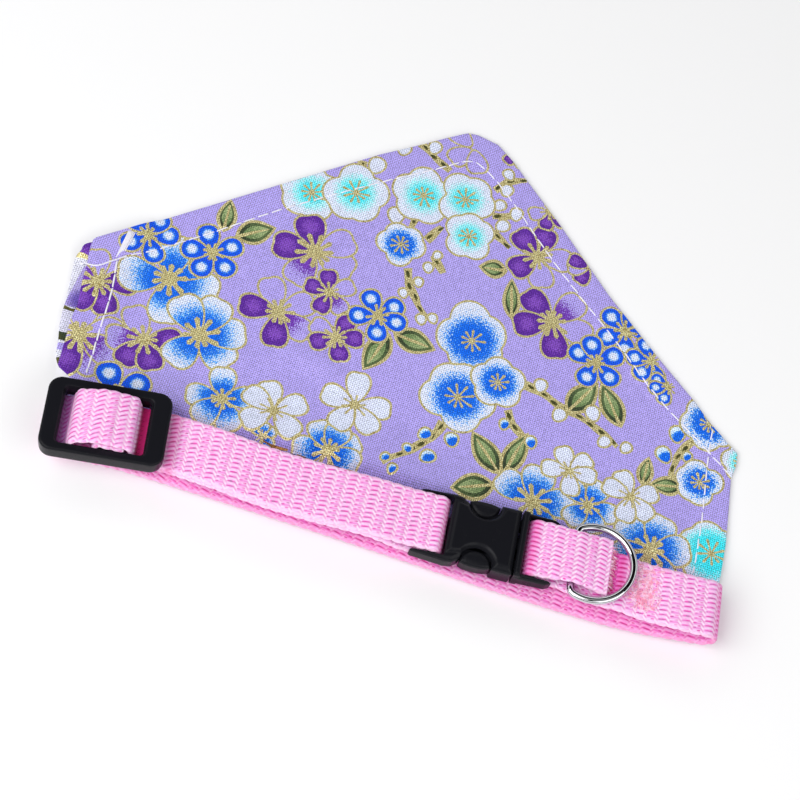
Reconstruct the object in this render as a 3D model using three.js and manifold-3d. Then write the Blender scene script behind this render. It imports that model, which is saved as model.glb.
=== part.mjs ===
// A dog bandana: a cotton triangle sewn to a narrow adjustable collar, lying flat, its buckle fastened.
// Millimetres, +Z up. The collar runs along X, the point of the bandana lies towards +Y.
// The collar lies flattened: its back half is on the table and its front half directly above that.

import * as THREE from 'three';
import { mergeVertices } from 'three/addons/utils/BufferGeometryUtils.js';
import Module from 'manifold-3d';

const wasm = await Module();
wasm.setup();

// ---- Driving dimensions ----

const clothThickness = 1.0;
const clearance = 0.3;

const webbing = { width: 14.6, thickness: 1.4, stackStep: 1.6, barGap: 0.25 };

// Heights of the middle of the webbing where it lies flat.
const level = { back: 2.0, underRim: 3.75, lower: 7.6, rightEnd: 8.3, bartack: 6.3 };

const rightFold = { x: 87.0, bend: 3.1 };

const slider = {
  x: -65.3, y: 0.6, z: 8.0, turn: 8,
  length: 29.0, width: 19.2, height: 3.4, cornerRadius: 3.2,
  windowLength: 20.4, windowWidth: 15.6, windowRadius: 1.0,
  barWidth: 2.2, barHeight: 2.0, barOverlap: 0.8, edgeRound: 0.45,
};

const buckle = {
  x: 28.5, y: 1.4, z: 6.6, turn: 3,
  halfWidth: 8.8, bodyHeight: 7.0, armHeight: 5.0, armThickness: 1.1, barRadius: 0.9,
  socketEnd: -18.4, socketBar: -12.45, socketBody: -9.6,
  split: 7.2, splitGap: 0.3,
  plugBody: 9.2, plugBar: 12.1, plugEnd: 17.4, plugHalfWidth: 8.5,
  notchX: -1.8, notchY: 8.1, notchRadius: 3.95, edgeRound: 0.5,
};

// The space inside the socket, and what the plug reaches into it with: a tongue in the middle, and at
// each side a prong that carries the pad that a finger presses.
const cavity = { from: -7.5, halfWidth: 6.6, height: 3.8 };
const tongue = { from: -4.0, halfWidth: 1.3 };
const prong = { from: -6.2, inner: 4.4, outer: 6.2, height: 3.2, root: 0.8 };
const pad = { radius: 3.5, outer: 8.4, height: 4.4 };

const ring = {
  x: 55.0, y: 2.75, turn: 4, wireRadius: 0.95, bendRadius: 9.5, barOffset: 5.0, barZ: 7.4, tilt: 6.1,
};

const plugBarX = buckle.x + buckle.plugBar;
const socketBarX = buckle.x + buckle.socketBar;
const ringBarX = ring.x - ring.barOffset;

// The edge of the panel, from the hidden base at the left end of the collar round to the right end.
// Columns: x, y.
const panelLeftEdge = [
  [-74.0, -5.0],
  [-76.0, 8.0],
  [-78.6, 13.5],
  [-82.7, 16.1],
  [-83.6, 24.0],
  [-85.3, 51.9],
];
const panelTopEdge = [
  [-85.3, 51.9],
  [-1.3, 117.7],
  [6.0, 117.0],
  [9.9, 114.4],
  [85.7, 46.6],
];
const panelRightEdge = [
  [84.5, -5.0],
  [88.0, 9.1],
  [85.7, 46.6],
];
const panelColumns = 44;
const panelRows = 22;
// The rows lie closer together near the collar, by this power.
const rowCrowding = 1.6;

// The cloth rises where it leaves the collar, and rolls down under the front half of the collar.
// Columns: y, lift.
const collarRoll = [
  [-6.0, 0.0],
  [9.8, 0.0],
  [11.6, 0.9],
  [14.0, 2.0],
  [17.5, 1.7],
  [23.0, 0.7],
  [31.0, 0.0],
];

// The roll fades out towards the two ends of the collar: x at both ends of each fade, and at the right the
// share that is lost.
const rollAtLeft = { from: -84, to: -58 };
const rollAtRight = { from: 70, to: 86, lost: 0.7 };

// Where the panel climbs onto the hem layer at its left: x and y of the slopes.
const hemStep = { left: -75.6, right: -69.0, near: 8, far: 14 };

// Soft swellings of the cloth. Columns: x, y, radius along the fold, radius across it, turn, lift.
const swellings = [
  [-44.0, 30.0, 15.0, 6.5, 30, 0.8],
  [-20.0, 36.0, 16.0, 6.0, -10, 0.9],
  [62.0, 26.0, 14.0, 7.0, 15, 0.7],
];

// The hem layer that shows at the left. Columns: y, outer x, inner x.
const hemRows = [
  [15.5, -83.3, -77.2],
  [24.0, -85.2, -77.2],
  [33.0, -86.5, -77.6],
  [44.0, -87.2, -78.4],
  [49.6, -87.0, -80.0],
];

// How far the collar strays sideways, and how its cross lines turn. Columns: x, shift, turn.
const frontSway = [
  [-80.0, -1.5, 8],
  [-65.3, 0.6, 8],
  [-51.0, 2.3, 8],
  [-38.0, 0.4, 3],
  [-22.0, -0.6, 1],
  [0.0, 0.0, 1],
  [13.6, 0.6, 3],
  [28.5, 1.4, 3],
  [42.6, 2.15, 3],
  [46.5, 2.3, 3],
  [51.0, 0.9, 3],
  [57.0, -0.3, 3],
  [67.0, -0.2, 3],
  [77.0, -0.3, 3],
  [88.0, 0.3, 4],
];
// The end that folds back over the plug's bar lies on top of the front half, as far as the bartack.
const foldSway = [
  [28.5, 1.4, 3],
  [42.6, 2.15, 3],
  [50.0, 2.45, 4],
  [58.2, 2.75, 4],
];
// How much the D-ring's bend narrows the collar where it passes under it.
const ringPinch = 0.045;
const backSway = [
  [-80.0, -1.2, 8],
  [-65.0, 0.2, 8],
  [-53.0, 0.4, 5],
  [-15.0, -0.2, 1],
  [10.0, -0.9, 0],
  [33.0, -1.7, 0],
  [58.0, -2.0, 1],
  [70.0, -1.4, 2],
  [79.0, -0.3, 3],
  [88.0, 0.8, 4],
];

const cottonLilac = new THREE.MeshStandardMaterial({ color: 0xa894de, roughness: 0.9, metalness: 0 });
const cottonReverse = new THREE.MeshStandardMaterial({ color: 0xdcdce6, roughness: 0.9, metalness: 0 });
const webbingPink = new THREE.MeshStandardMaterial({ color: 0xf5a0d7, roughness: 0.7, metalness: 0 });
const moulded = new THREE.MeshStandardMaterial({ color: 0x141418, roughness: 0.45, metalness: 0 });
const platedSteel = new THREE.MeshStandardMaterial({ color: 0xc8c8cc, roughness: 0.15, metalness: 1 });

// ---- Helpers ----

const radians = THREE.MathUtils.degToRad;

// A smooth curve through rows of [x, value, ...], read at x in the given column.
function along(rows, x, column) {
  const last = rows.length - 1;
  if (x <= rows[0][0]) return rows[0][column];
  if (x >= rows[last][0]) return rows[last][column];
  const i = rows.findIndex((row) => row[0] > x) - 1;
  const slope = (k) => {
    const a = Math.max(k - 1, 0);
    const b = Math.min(k + 1, last);
    return (rows[b][column] - rows[a][column]) / (rows[b][0] - rows[a][0]);
  };
  const span = rows[i + 1][0] - rows[i][0];
  const t = (x - rows[i][0]) / span;
  const from = (1 + 2 * t) * (1 - t) ** 2 * rows[i][column] + t * (1 - t) ** 2 * span * slope(i);
  const to = t * t * (3 - 2 * t) * rows[i + 1][column] + t * t * (t - 1) * span * slope(i + 1);
  return from + to;
}

// Steps softly from row to row of [x, value].
function eased(rows, x) {
  const passed = rows.filter((row) => row[0] < x).length;
  const i = THREE.MathUtils.clamp(passed, 1, rows.length - 1);
  const [from, to] = [rows[i - 1], rows[i]];
  return THREE.MathUtils.lerp(from[1], to[1], THREE.MathUtils.smoothstep(x, from[0], to[0]));
}

// The point a share t of the way along a chain of straight edges.
function onChain(rows, t) {
  const path = new THREE.Path(rows.map(([x, y]) => new THREE.Vector2(x, y)));
  return path.getPointAt(THREE.MathUtils.clamp(t, 0, 1));
}

// A closed THREE geometry as a manifold-3d solid.
function solid(geometry) {
  let bare = geometry.index ? geometry.toNonIndexed() : geometry.clone();
  bare.deleteAttribute('normal');
  bare.deleteAttribute('uv');
  bare = mergeVertices(bare, 1e-4);
  return new wasm.Manifold(new wasm.Mesh({
    numProp: 3,
    vertProperties: new Float32Array(bare.attributes.position.array),
    triVerts: new Uint32Array(bare.index.array),
  }));
}

function geometryOf(manifold) {
  const mesh = manifold.getMesh();
  const geometry = new THREE.BufferGeometry();
  geometry.setAttribute('position', new THREE.BufferAttribute(mesh.vertProperties, 3));
  geometry.setIndex(new THREE.BufferAttribute(mesh.triVerts, 1));
  geometry.computeVertexNormals();
  return geometry;
}

function meshOf(positions, indices) {
  const geometry = new THREE.BufferGeometry();
  geometry.setAttribute('position', new THREE.Float32BufferAttribute(positions, 3));
  geometry.setIndex(indices);
  geometry.computeVertexNormals();
  return geometry;
}

function named(name, geometry, material) {
  const mesh = new THREE.Mesh(geometry, material);
  mesh.name = name;
  return mesh;
}

function box(x0, x1, y0, y1, z0, z1) {
  const geometry = new THREE.BoxGeometry(x1 - x0, y1 - y0, z1 - z0);
  geometry.translate((x0 + x1) / 2, (y0 + y1) / 2, (z0 + z1) / 2);
  return geometry;
}

// A round bar along Y.
function crossBar(x, radius, halfLength) {
  const geometry = new THREE.CylinderGeometry(radius, radius, 2 * halfLength, 16);
  geometry.translate(x, 0, 0);
  return geometry;
}

function roundedRectangle(Target, length, width, radius) {
  const x = length / 2;
  const y = width / 2;
  const outline = new Target();
  outline.moveTo(-x + radius, -y);
  outline.lineTo(x - radius, -y);
  outline.absarc(x - radius, -y + radius, radius, -Math.PI / 2, 0);
  outline.lineTo(x, y - radius);
  outline.absarc(x - radius, y - radius, radius, 0, Math.PI / 2);
  outline.lineTo(-x + radius, y);
  outline.absarc(-x + radius, y - radius, radius, Math.PI / 2, Math.PI);
  outline.lineTo(-x, -y + radius);
  outline.absarc(-x + radius, -y + radius, radius, Math.PI, 1.5 * Math.PI);
  return outline;
}

// A flat plate with rounded edges, centred on z = 0.
function plate(shape, height, round) {
  const geometry = new THREE.ExtrudeGeometry(shape, {
    depth: height - 2 * round,
    bevelEnabled: round > 0,
    bevelThickness: round,
    bevelSize: round,
    bevelOffset: -round,
    bevelSegments: 2,
    curveSegments: 6,
  });
  geometry.translate(0, 0, round - height / 2);
  return geometry;
}

// A plate outline given by its upper half, mirrored in the X axis.
function mirroredShape(rows) {
  const upper = rows.map(([x, y]) => new THREE.Vector2(x, y));
  const lower = rows.map(([x, y]) => new THREE.Vector2(x, -y)).reverse();
  return new THREE.Shape([...lower, ...upper]);
}

// ---- Webbing ----

// The corners of the strap's route in side view, from its sewn end at the slider to its end past the
// D-ring. The layer is 0 in the back half, 1 in the front half and 2 in the end that folds back over the
// plug's bar. Columns: x, z, bend radius, layer.
function strapCorners() {
  const half = webbing.thickness / 2;
  const s = slider.x;
  const overBar = slider.barWidth / 2 + webbing.barGap + half;
  const wrap = buckle.barRadius + webbing.barGap + half;
  const upper = level.lower + webbing.stackStep;
  const running = level.underRim + webbing.stackStep;
  return [
    [s + 4.8, slider.z + 1.35, 0, 1],
    [s - overBar, slider.z + 2.65, 1.6, 1],
    [s - overBar, slider.z - overBar, 1.9, 1],
    [s + 8.6, level.underRim, 5, 1],
    [-49.0, level.underRim, 8, 1],
    [-38.0, level.lower, 12, 1],
    [1.0, level.lower, 12, 1],
    [8.6, buckle.z - wrap, 8, 1],
    [socketBarX + wrap, buckle.z - wrap, wrap - 0.1, 1],
    [socketBarX + wrap, buckle.z + wrap, wrap - 0.1, 1],
    [9.0, buckle.z + wrap, 8, 1],
    [1.0, upper, 14, 1],
    [-38.3, upper, 13, 1],
    [-49.3, running, 6.5, 1],
    [s + 8.6, running, 1.2, 1],
    [s + 6.3, slider.z + 3.0, 1.8, 1],
    [s - 0.8, slider.z + 4.8, 6, 1],
    [s - 6.9, slider.z + 2.4, 2.2, 1],
    [s - 8.2, running, 1.2, 1],
    [s - 12.65, running, 1.6, 1],
    [s - 12.65, level.back, 1.6, 0],
    [rightFold.x, level.back, rightFold.bend, 0],
    [rightFold.x, level.rightEnd, rightFold.bend, 1],
    [76.5, level.rightEnd, 12, 1],
    [68.5, level.bartack, 12, 1],
    [57.5, level.bartack, 10, 1],
    [47.0, buckle.z - wrap, 8, 1],
    [plugBarX - wrap, buckle.z - wrap, wrap - 0.1, 1],
    [plugBarX - wrap, buckle.z + wrap, wrap - 0.1, 2],
    [plugBarX + 1.0, buckle.z + wrap, 5, 2],
    [ringBarX, ring.barZ + ring.wireRadius + 0.5 + half, 8, 2],
    [58.2, level.bartack + webbing.stackStep + 0.1, 0, 2],
  ];
}

// The route with its corners rounded, as points close enough together to follow the plan of the collar.
// Each point is x, z and the layer there, which changes only between the middles of two bends.
function strapRoute() {
  const corners = strapCorners();
  const first = corners[0];
  const last = corners[corners.length - 1];
  const points = [new THREE.Vector2(first[0], first[1])];
  const straightStep = 5;
  const bendStep = radians(20);
  const stepTo = (i) => (i ? points[i].distanceTo(points[i - 1]) : 0);
  const lengths = () => points.reduce((sum, point, i) => sum + stepTo(i), 0);
  const runTo = (end) => {
    const start = points[points.length - 1];
    const steps = Math.max(1, Math.round(start.distanceTo(end) / straightStep));
    for (let i = 1; i <= steps; i++) points.push(start.clone().lerp(end, i / steps));
  };
  const layers = [[0, first[3]]];
  for (let i = 1; i < corners.length - 1; i++) {
    const [x, z, bend, layer] = corners[i];
    const corner = new THREE.Vector2(x, z);
    const back = new THREE.Vector2(corners[i - 1][0], corners[i - 1][1]).sub(corner).normalize();
    const ahead = new THREE.Vector2(corners[i + 1][0], corners[i + 1][1]).sub(corner).normalize();
    const opening = Math.acos(THREE.MathUtils.clamp(back.dot(ahead), -1, 1));
    const start = corner.clone().addScaledVector(back, bend / Math.tan(opening / 2));
    const toCentre = back.clone().add(ahead).normalize();
    const centre = corner.clone().addScaledVector(toCentre, bend / Math.sin(opening / 2));
    const turned = Math.PI - opening;
    const side = Math.sign(back.x * ahead.y - back.y * ahead.x);
    runTo(start);
    layers.push([lengths() + (bend * turned) / 2, layer]);
    const steps = Math.max(1, Math.ceil(turned / bendStep));
    for (let k = 1; k <= steps; k++) {
      points.push(start.clone().rotateAround(centre, (-side * turned * k) / steps));
    }
  }
  runTo(new THREE.Vector2(last[0], last[1]));
  layers.push([lengths(), last[3]]);
  let travelled = 0;
  return points.map((point, i) => {
    travelled += stepTo(i);
    return { place: point, layer: eased(layers, travelled) };
  });
}

// The middle of the collar and the turn of its cross lines, at x in a layer.
function sway(x, layer) {
  const [under, over] = layer <= 1 ? [backSway, frontSway] : [frontSway, foldSway];
  const share = layer <= 1 ? layer : layer - 1;
  const pinch = 1 - ringPinch * layer * Math.exp(-(((x - ringBarX) / 5) ** 2));
  return {
    shift: THREE.MathUtils.lerp(along(under, x, 1), along(over, x, 1), share),
    slant: Math.tan(radians(THREE.MathUtils.lerp(along(under, x, 2), along(over, x, 2), share))),
    halfWidth: (pinch * webbing.width) / 2,
  };
}

// The strap: a flat section carried along the route, station by station.
function makeWebbing() {
  const route = strapRoute();
  const positions = [];
  const indices = [];
  route.forEach(({ place, layer }, i) => {
    const ahead = route[Math.min(i + 1, route.length - 1)].place;
    const behind = route[Math.max(i - 1, 0)].place;
    const direction = ahead.clone().sub(behind).normalize();
    const { shift, slant, halfWidth } = sway(place.x, layer);
    for (const [side, face] of [[-1, -1], [1, -1], [1, 1], [-1, 1]]) {
      const y = side * halfWidth;
      const out = (face * webbing.thickness) / 2;
      positions.push(place.x - direction.y * out - slant * y, y + shift, place.y + direction.x * out);
    }
  });
  const quad = (a, b, c, d) => indices.push(a, b, c, a, c, d);
  for (let i = 0; i < route.length - 1; i++) {
    const here = 4 * i;
    const next = here + 4;
    for (let k = 0; k < 4; k++) {
      const other = (k + 1) % 4;
      quad(here + k, here + other, next + other, next + k);
    }
  }
  const end = 4 * (route.length - 1);
  quad(3, 2, 1, 0);
  quad(end, end + 1, end + 2, end + 3);
  return named('webbing', meshOf(positions, indices), webbingPink);
}

// ---- Cloth ----

// A wall of cloth over a grid: place(u, v) gives the middle of the cloth, u and v from 0 to 1.
function clothWall(columns, rows, place) {
  const positions = [];
  const indices = [];
  const half = clothThickness / 2;
  const at = (i, j, top) => (top ? (columns + 1) * (rows + 1) : 0) + j * (columns + 1) + i;
  for (const side of [-half, half]) {
    for (let j = 0; j <= rows; j++) {
      for (let i = 0; i <= columns; i++) {
        const middle = place(i / columns, j / rows);
        positions.push(middle.x, middle.y, middle.z + side);
      }
    }
  }
  const quad = (a, b, c, d) => indices.push(a, b, c, a, c, d);
  for (let j = 0; j < rows; j++) {
    for (let i = 0; i < columns; i++) {
      quad(at(i, j, 1), at(i + 1, j, 1), at(i + 1, j + 1, 1), at(i, j + 1, 1));
      quad(at(i, j, 0), at(i, j + 1, 0), at(i + 1, j + 1, 0), at(i + 1, j, 0));
    }
  }
  for (let i = 0; i < columns; i++) {
    quad(at(i, 0, 0), at(i + 1, 0, 0), at(i + 1, 0, 1), at(i, 0, 1));
    quad(at(i + 1, rows, 0), at(i, rows, 0), at(i, rows, 1), at(i + 1, rows, 1));
  }
  for (let j = 0; j < rows; j++) {
    quad(at(0, j + 1, 0), at(0, j, 0), at(0, j, 1), at(0, j + 1, 1));
    quad(at(columns, j, 0), at(columns, j + 1, 0), at(columns, j + 1, 1), at(columns, j, 1));
  }
  return meshOf(positions, indices);
}

// The plan of the panel: a patch stretched between its four edges.
function panelPlan(u, v) {
  const [baseLeft, baseRight] = [panelLeftEdge[0], panelRightEdge[0]];
  const base = (t) => new THREE.Vector2(THREE.MathUtils.lerp(baseLeft[0], baseRight[0], t), baseLeft[1]);
  const left = onChain(panelLeftEdge, v);
  const right = onChain(panelRightEdge, v);
  const bottom = base(u);
  const top = onChain(panelTopEdge, u);
  const corners = base(0).multiplyScalar((1 - u) * (1 - v))
    .addScaledVector(base(1), u * (1 - v))
    .addScaledVector(onChain(panelTopEdge, 0), (1 - u) * v)
    .addScaledVector(onChain(panelTopEdge, 1), u * v);
  return left.multiplyScalar(1 - u).addScaledVector(right, u)
    .addScaledVector(bottom, 1 - v).addScaledVector(top, v).sub(corners);
}

// How high the cloth is lifted off the table at a place.
function panelLift(x, y) {
  const { smoothstep } = THREE.MathUtils;
  const fromLeft = smoothstep(x, rollAtLeft.from, rollAtLeft.to);
  const toRight = 1 - rollAtRight.lost * smoothstep(x, rollAtRight.from, rollAtRight.to);
  let lift = along(collarRoll, y, 1) * fromLeft * toRight;
  for (const [cx, cy, long, short, turn, height] of swellings) {
    const c = Math.cos(radians(turn));
    const s = Math.sin(radians(turn));
    const a = ((x - cx) * c + (y - cy) * s) / long;
    const b = (-(x - cx) * s + (y - cy) * c) / short;
    const fade = 1 - a * a - b * b;
    if (fade > 0) lift += height * fade * fade;
  }
  const besideHem = 1 - smoothstep(x, hemStep.left, hemStep.right);
  const onHem = (clothThickness + clearance) * besideHem * smoothstep(y, hemStep.near, hemStep.far);
  return Math.max(lift, onHem);
}

function makePanel() {
  const geometry = clothWall(panelColumns, panelRows, (u, v) => {
    const plan = panelPlan(u, v ** rowCrowding);
    return new THREE.Vector3(plan.x, plan.y, clothThickness / 2 + panelLift(plan.x, plan.y));
  });
  return named('bandana_panel', geometry, cottonLilac);
}

function makeLeftHem() {
  const low = hemRows[0][0];
  const high = hemRows[hemRows.length - 1][0];
  const geometry = clothWall(2, 12, (u, v) => {
    const y = THREE.MathUtils.lerp(low, high, v);
    const x = THREE.MathUtils.lerp(along(hemRows, y, 1), along(hemRows, y, 2), u);
    return new THREE.Vector3(x, y, clothThickness / 2);
  });
  return named('left_hem', geometry, cottonReverse);
}

// ---- Slider ----

function makeSlider() {
  const outline = roundedRectangle(THREE.Shape, slider.length, slider.width, slider.cornerRadius);
  const { windowLength, windowWidth, windowRadius } = slider;
  outline.holes.push(roundedRectangle(THREE.Path, windowLength, windowWidth, windowRadius));
  const frame = solid(plate(outline, slider.height, slider.edgeRound));
  const reach = windowWidth / 2 + slider.barOverlap;
  const half = slider.barWidth / 2;
  const bar = solid(box(-half, half, -reach, reach, -slider.barHeight / 2, slider.barHeight / 2));
  const mesh = named('slider', geometryOf(frame.add(bar)), moulded);
  mesh.position.set(slider.x, slider.y, slider.z);
  mesh.rotation.z = radians(slider.turn);
  return mesh;
}

// ---- Buckle ----

// Upper halves of the buckle's outlines, in its own frame. Columns: x, y.
const socketArmOutline = [
  [buckle.socketEnd, 6.9],
  [buckle.socketEnd + 1.0, 8.2],
  [-9.0, buckle.halfWidth],
  [-7.2, 8.5],
  [-5.0, 6.9],
];
const socketBodyOutline = [
  [buckle.socketBody, 7.2],
  [-6.4, 6.5],
  [-4.6, 6.6],
  [-3.4, 8.1],
  [4.6, 8.5],
  [buckle.split, 8.5],
];
const plugOutline = [
  [buckle.split + buckle.splitGap, buckle.plugHalfWidth],
  [buckle.plugBody, buckle.plugHalfWidth + 0.1],
  [15.6, buckle.plugHalfWidth],
  [buckle.plugEnd, 7.6],
];

// The space between two arms, cut right through, with the round bar that the webbing wraps.
function withBar(part, from, to, barX) {
  const inner = buckle.halfWidth - buckle.armThickness;
  const space = solid(box(from, to, -inner, inner, -buckle.bodyHeight, buckle.bodyHeight));
  const bar = solid(crossBar(barX, buckle.barRadius, inner + 0.3));
  return part.subtract(space).add(bar);
}

function placeBuckle(name, part) {
  const mesh = named(name, geometryOf(part), moulded);
  mesh.position.set(buckle.x, buckle.y, buckle.z);
  mesh.rotation.z = radians(buckle.turn);
  return mesh;
}

// An upright cylinder at the notch of one side.
function atNotch(radius, height, side) {
  const cylinder = new THREE.CylinderGeometry(radius, radius, height, 24);
  cylinder.rotateX(Math.PI / 2);
  cylinder.translate(buckle.notchX, side * buckle.notchY, 0);
  return solid(cylinder);
}

// A box from one distance to another off the X axis, at one side of it.
function sideBox(x0, x1, inner, outer, halfHeight, side) {
  const [low, high] = side > 0 ? [inner, outer] : [-outer, -inner];
  return solid(box(x0, x1, low, high, -halfHeight, halfHeight));
}

function makeSocket() {
  const arms = solid(plate(mirroredShape(socketArmOutline), buckle.armHeight, buckle.edgeRound));
  const body = solid(plate(mirroredShape(socketBodyOutline), buckle.bodyHeight, buckle.edgeRound));
  const { from, halfWidth, height } = cavity;
  const space = solid(box(from, buckle.split + 1, -halfWidth, halfWidth, -height / 2, height / 2));
  let part = withBar(arms, buckle.socketEnd - 1, buckle.socketBody, buckle.socketBar);
  part = part.add(body).subtract(space);
  for (const side of [-1, 1]) {
    part = part.subtract(atNotch(buckle.notchRadius, 2 * buckle.bodyHeight, side));
  }
  return placeBuckle('buckle_socket', part);
}

function makePlug() {
  const start = buckle.split + buckle.splitGap;
  const root = start + prong.root;
  const half = prong.height / 2;
  const arms = solid(plate(mirroredShape(plugOutline), buckle.armHeight, buckle.edgeRound));
  const shoulder = mirroredShape([[start, buckle.plugHalfWidth], [buckle.plugBody, buckle.plugHalfWidth]]);
  let part = withBar(arms, buckle.plugBody, buckle.plugEnd + 1, buckle.plugBar);
  part = part.add(solid(plate(shoulder, buckle.bodyHeight - 0.4, buckle.edgeRound)));
  part = part.add(solid(box(tongue.from, root, -tongue.halfWidth, tongue.halfWidth, -half, half)));
  for (const side of [-1, 1]) {
    const left = buckle.notchX - pad.radius;
    const right = buckle.notchX + pad.radius;
    const reach = sideBox(left, right, prong.inner, pad.outer, pad.height, side);
    part = part.add(sideBox(prong.from, root, prong.inner, prong.outer, half, side));
    part = part.add(atNotch(pad.radius, pad.height, side).intersect(reach));
  }
  return placeBuckle('buckle_plug', part);
}

// ---- D-ring ----

function makeRing() {
  const hoop = new THREE.TorusGeometry(ring.bendRadius, ring.wireRadius, 12, 56);
  const keep = box(-ring.barOffset, 2 * ring.bendRadius, -2 * ring.bendRadius, 2 * ring.bendRadius, -3, 3);
  const halfChord = Math.sqrt(ring.bendRadius ** 2 - ring.barOffset ** 2);
  const bar = crossBar(-ring.barOffset, ring.wireRadius, halfChord);
  let part = solid(hoop).intersect(solid(keep)).add(solid(bar));
  for (const side of [-1, 1]) {
    const corner = new THREE.SphereGeometry(ring.wireRadius, 14, 10);
    corner.translate(-ring.barOffset, side * halfChord, 0);
    part = part.add(solid(corner));
  }
  const geometry = geometryOf(part);
  geometry.translate(ring.barOffset, 0, 0);
  const mesh = named('d_ring', geometry, platedSteel);
  const turn = radians(ring.turn);
  const barX = ring.x - ring.barOffset * Math.cos(turn);
  const barY = ring.y - ring.barOffset * Math.sin(turn);
  mesh.position.set(barX, barY, ring.barZ);
  mesh.rotation.set(0, -radians(ring.tilt), turn, 'ZYX');
  return mesh;
}

// ---- The whole ----

const bandana = new THREE.Group();
bandana.add(
  makePanel(),
  makeLeftHem(),
  makeWebbing(),
  makeSlider(),
  makeSocket(),
  makePlug(),
  makeRing(),
);

// The origin is on the table, under the middle of the whole.
bandana.updateMatrixWorld(true);
const extent = new THREE.Box3().setFromObject(bandana, true);
const middle = extent.getCenter(new THREE.Vector3());
bandana.position.set(-middle.x, -middle.y, -extent.min.z);
bandana.updateMatrixWorld(true);

export default bandana;
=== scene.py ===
"""A dog bandana: printed cotton on a flat webbing collar, with its slider, buckle and ring."""

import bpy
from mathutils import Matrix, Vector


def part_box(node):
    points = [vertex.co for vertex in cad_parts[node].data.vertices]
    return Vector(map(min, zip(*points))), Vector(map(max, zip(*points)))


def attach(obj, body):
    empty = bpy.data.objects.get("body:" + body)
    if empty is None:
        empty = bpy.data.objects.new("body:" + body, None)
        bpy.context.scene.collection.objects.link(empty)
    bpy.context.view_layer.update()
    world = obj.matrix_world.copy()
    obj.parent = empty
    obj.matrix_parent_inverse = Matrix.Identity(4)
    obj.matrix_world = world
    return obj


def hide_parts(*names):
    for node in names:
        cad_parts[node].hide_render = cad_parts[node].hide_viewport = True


bl_info = {
    "name": "Dog Bandana",
    "version": (1, 0, 0),
    "blender": (4, 5, 0),
    "location": "3D View > Sidebar > Bandana",
    "description": "Builds a printed cotton bandana on a webbing collar with slider, buckle and ring",
    "category": "Add Mesh",
}

import math

import bpy
import numpy as np
from bpy.props import FloatProperty, FloatVectorProperty, PointerProperty
from mathutils import Matrix, Vector
from mathutils.geometry import delaunay_2d_cdt

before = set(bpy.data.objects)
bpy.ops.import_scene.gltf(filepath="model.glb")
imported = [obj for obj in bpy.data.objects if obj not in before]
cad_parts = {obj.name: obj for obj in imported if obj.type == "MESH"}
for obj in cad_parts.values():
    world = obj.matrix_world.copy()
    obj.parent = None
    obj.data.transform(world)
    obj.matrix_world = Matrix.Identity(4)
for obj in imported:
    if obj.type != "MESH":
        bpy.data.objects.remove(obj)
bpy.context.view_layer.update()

MM = 0.001

# ---- The collar's own axes ----
# Tables below are in millimetres: x along the collar, y towards the bandana's point, z up from the table.

SLIDER_MIDDLE = (-65.3, 0.6)


def collar_origin():
    """Where the collar's own axes start in the frame, in millimetres, from the slider's place."""
    low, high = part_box("slider")
    middle = (low + high) / 2 / MM
    return np.array([middle.x - SLIDER_MIDDLE[0], middle.y - SLIDER_MIDDLE[1], 0.0])


ORIGIN = collar_origin()


def to_frame(points):
    """Points in the collar's axes, in millimetres, as points of the frame in metres."""
    return (np.asarray(points, float).reshape(-1, 3) + ORIGIN) * MM


# ---- Tables and curves ----


def smoothstep(x, low, high):
    """0 below low, 1 above high, and a soft step between them."""
    t = np.clip((x - low) / (high - low), 0.0, 1.0)
    return t * t * (3 - 2 * t)


def hump(x, middle, reach, power=2):
    """1 at the middle, falling to 0 past its reach on both sides."""
    return np.exp(-(((x - middle) / reach) ** power))


def along(rows, x, column=1):
    """A smooth curve through the rows of a table, read at x in one of its columns."""
    table = np.asarray(rows, float)
    xs = table[:, 0]
    ys = table[:, column]
    order = np.arange(len(xs))
    before = np.maximum(order - 1, 0)
    after = np.minimum(order + 1, len(xs) - 1)
    slopes = (ys[after] - ys[before]) / (xs[after] - xs[before])
    x = np.clip(x, xs[0], xs[-1])
    i = np.clip(np.searchsorted(xs, x, side="right") - 1, 0, len(xs) - 2)
    span = xs[i + 1] - xs[i]
    t = (x - xs[i]) / span
    start = (1 + 2 * t) * (1 - t) ** 2 * ys[i] + t * (1 - t) ** 2 * span * slopes[i]
    end = t * t * (3 - 2 * t) * ys[i + 1] + t * t * (t - 1) * span * slopes[i + 1]
    return start + end


def lengths_along(chain):
    """How far each point of a chain is from its start, along it."""
    return np.concatenate([[0], np.cumsum(np.linalg.norm(np.diff(chain, axis=0), axis=1))])


def points_at(chain, lengths, wanted):
    """Points at the wanted lengths along a chain."""
    return np.stack([np.interp(wanted, lengths, column) for column in chain.T], axis=1)


def resample(points, step):
    """Points an even step apart along a chain."""
    points = np.asarray(points, float)
    lengths = lengths_along(points)
    count = max(2, int(round(lengths[-1] / step)) + 1)
    return points_at(points, lengths, np.linspace(0, lengths[-1], count))


def looped(points):
    """A chain closed by its first point."""
    return np.concatenate([points, points[:1]])


def even_loop(points, step):
    """Points an even step apart round a closed outline."""
    return resample(looped(points), step)[:-1]


def softened(points, rounds=2):
    """An open chain with its corners cut."""
    points = np.asarray(points, float)
    for _ in range(rounds):
        quarter = 0.75 * points[:-1] + 0.25 * points[1:]
        rest = 0.25 * points[:-1] + 0.75 * points[1:]
        middle = np.stack([quarter, rest], axis=1).reshape(-1, points.shape[1])
        points = np.concatenate([points[:1], middle[1:-1], points[-1:]])
    return points


def headings(chain, closed=False):
    """The unit direction along a chain at each of its points."""
    ahead = np.roll(chain, -1, axis=0) - np.roll(chain, 1, axis=0) if closed else np.gradient(chain, axis=0)
    return ahead / np.linalg.norm(ahead, axis=1)[:, None]


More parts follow.
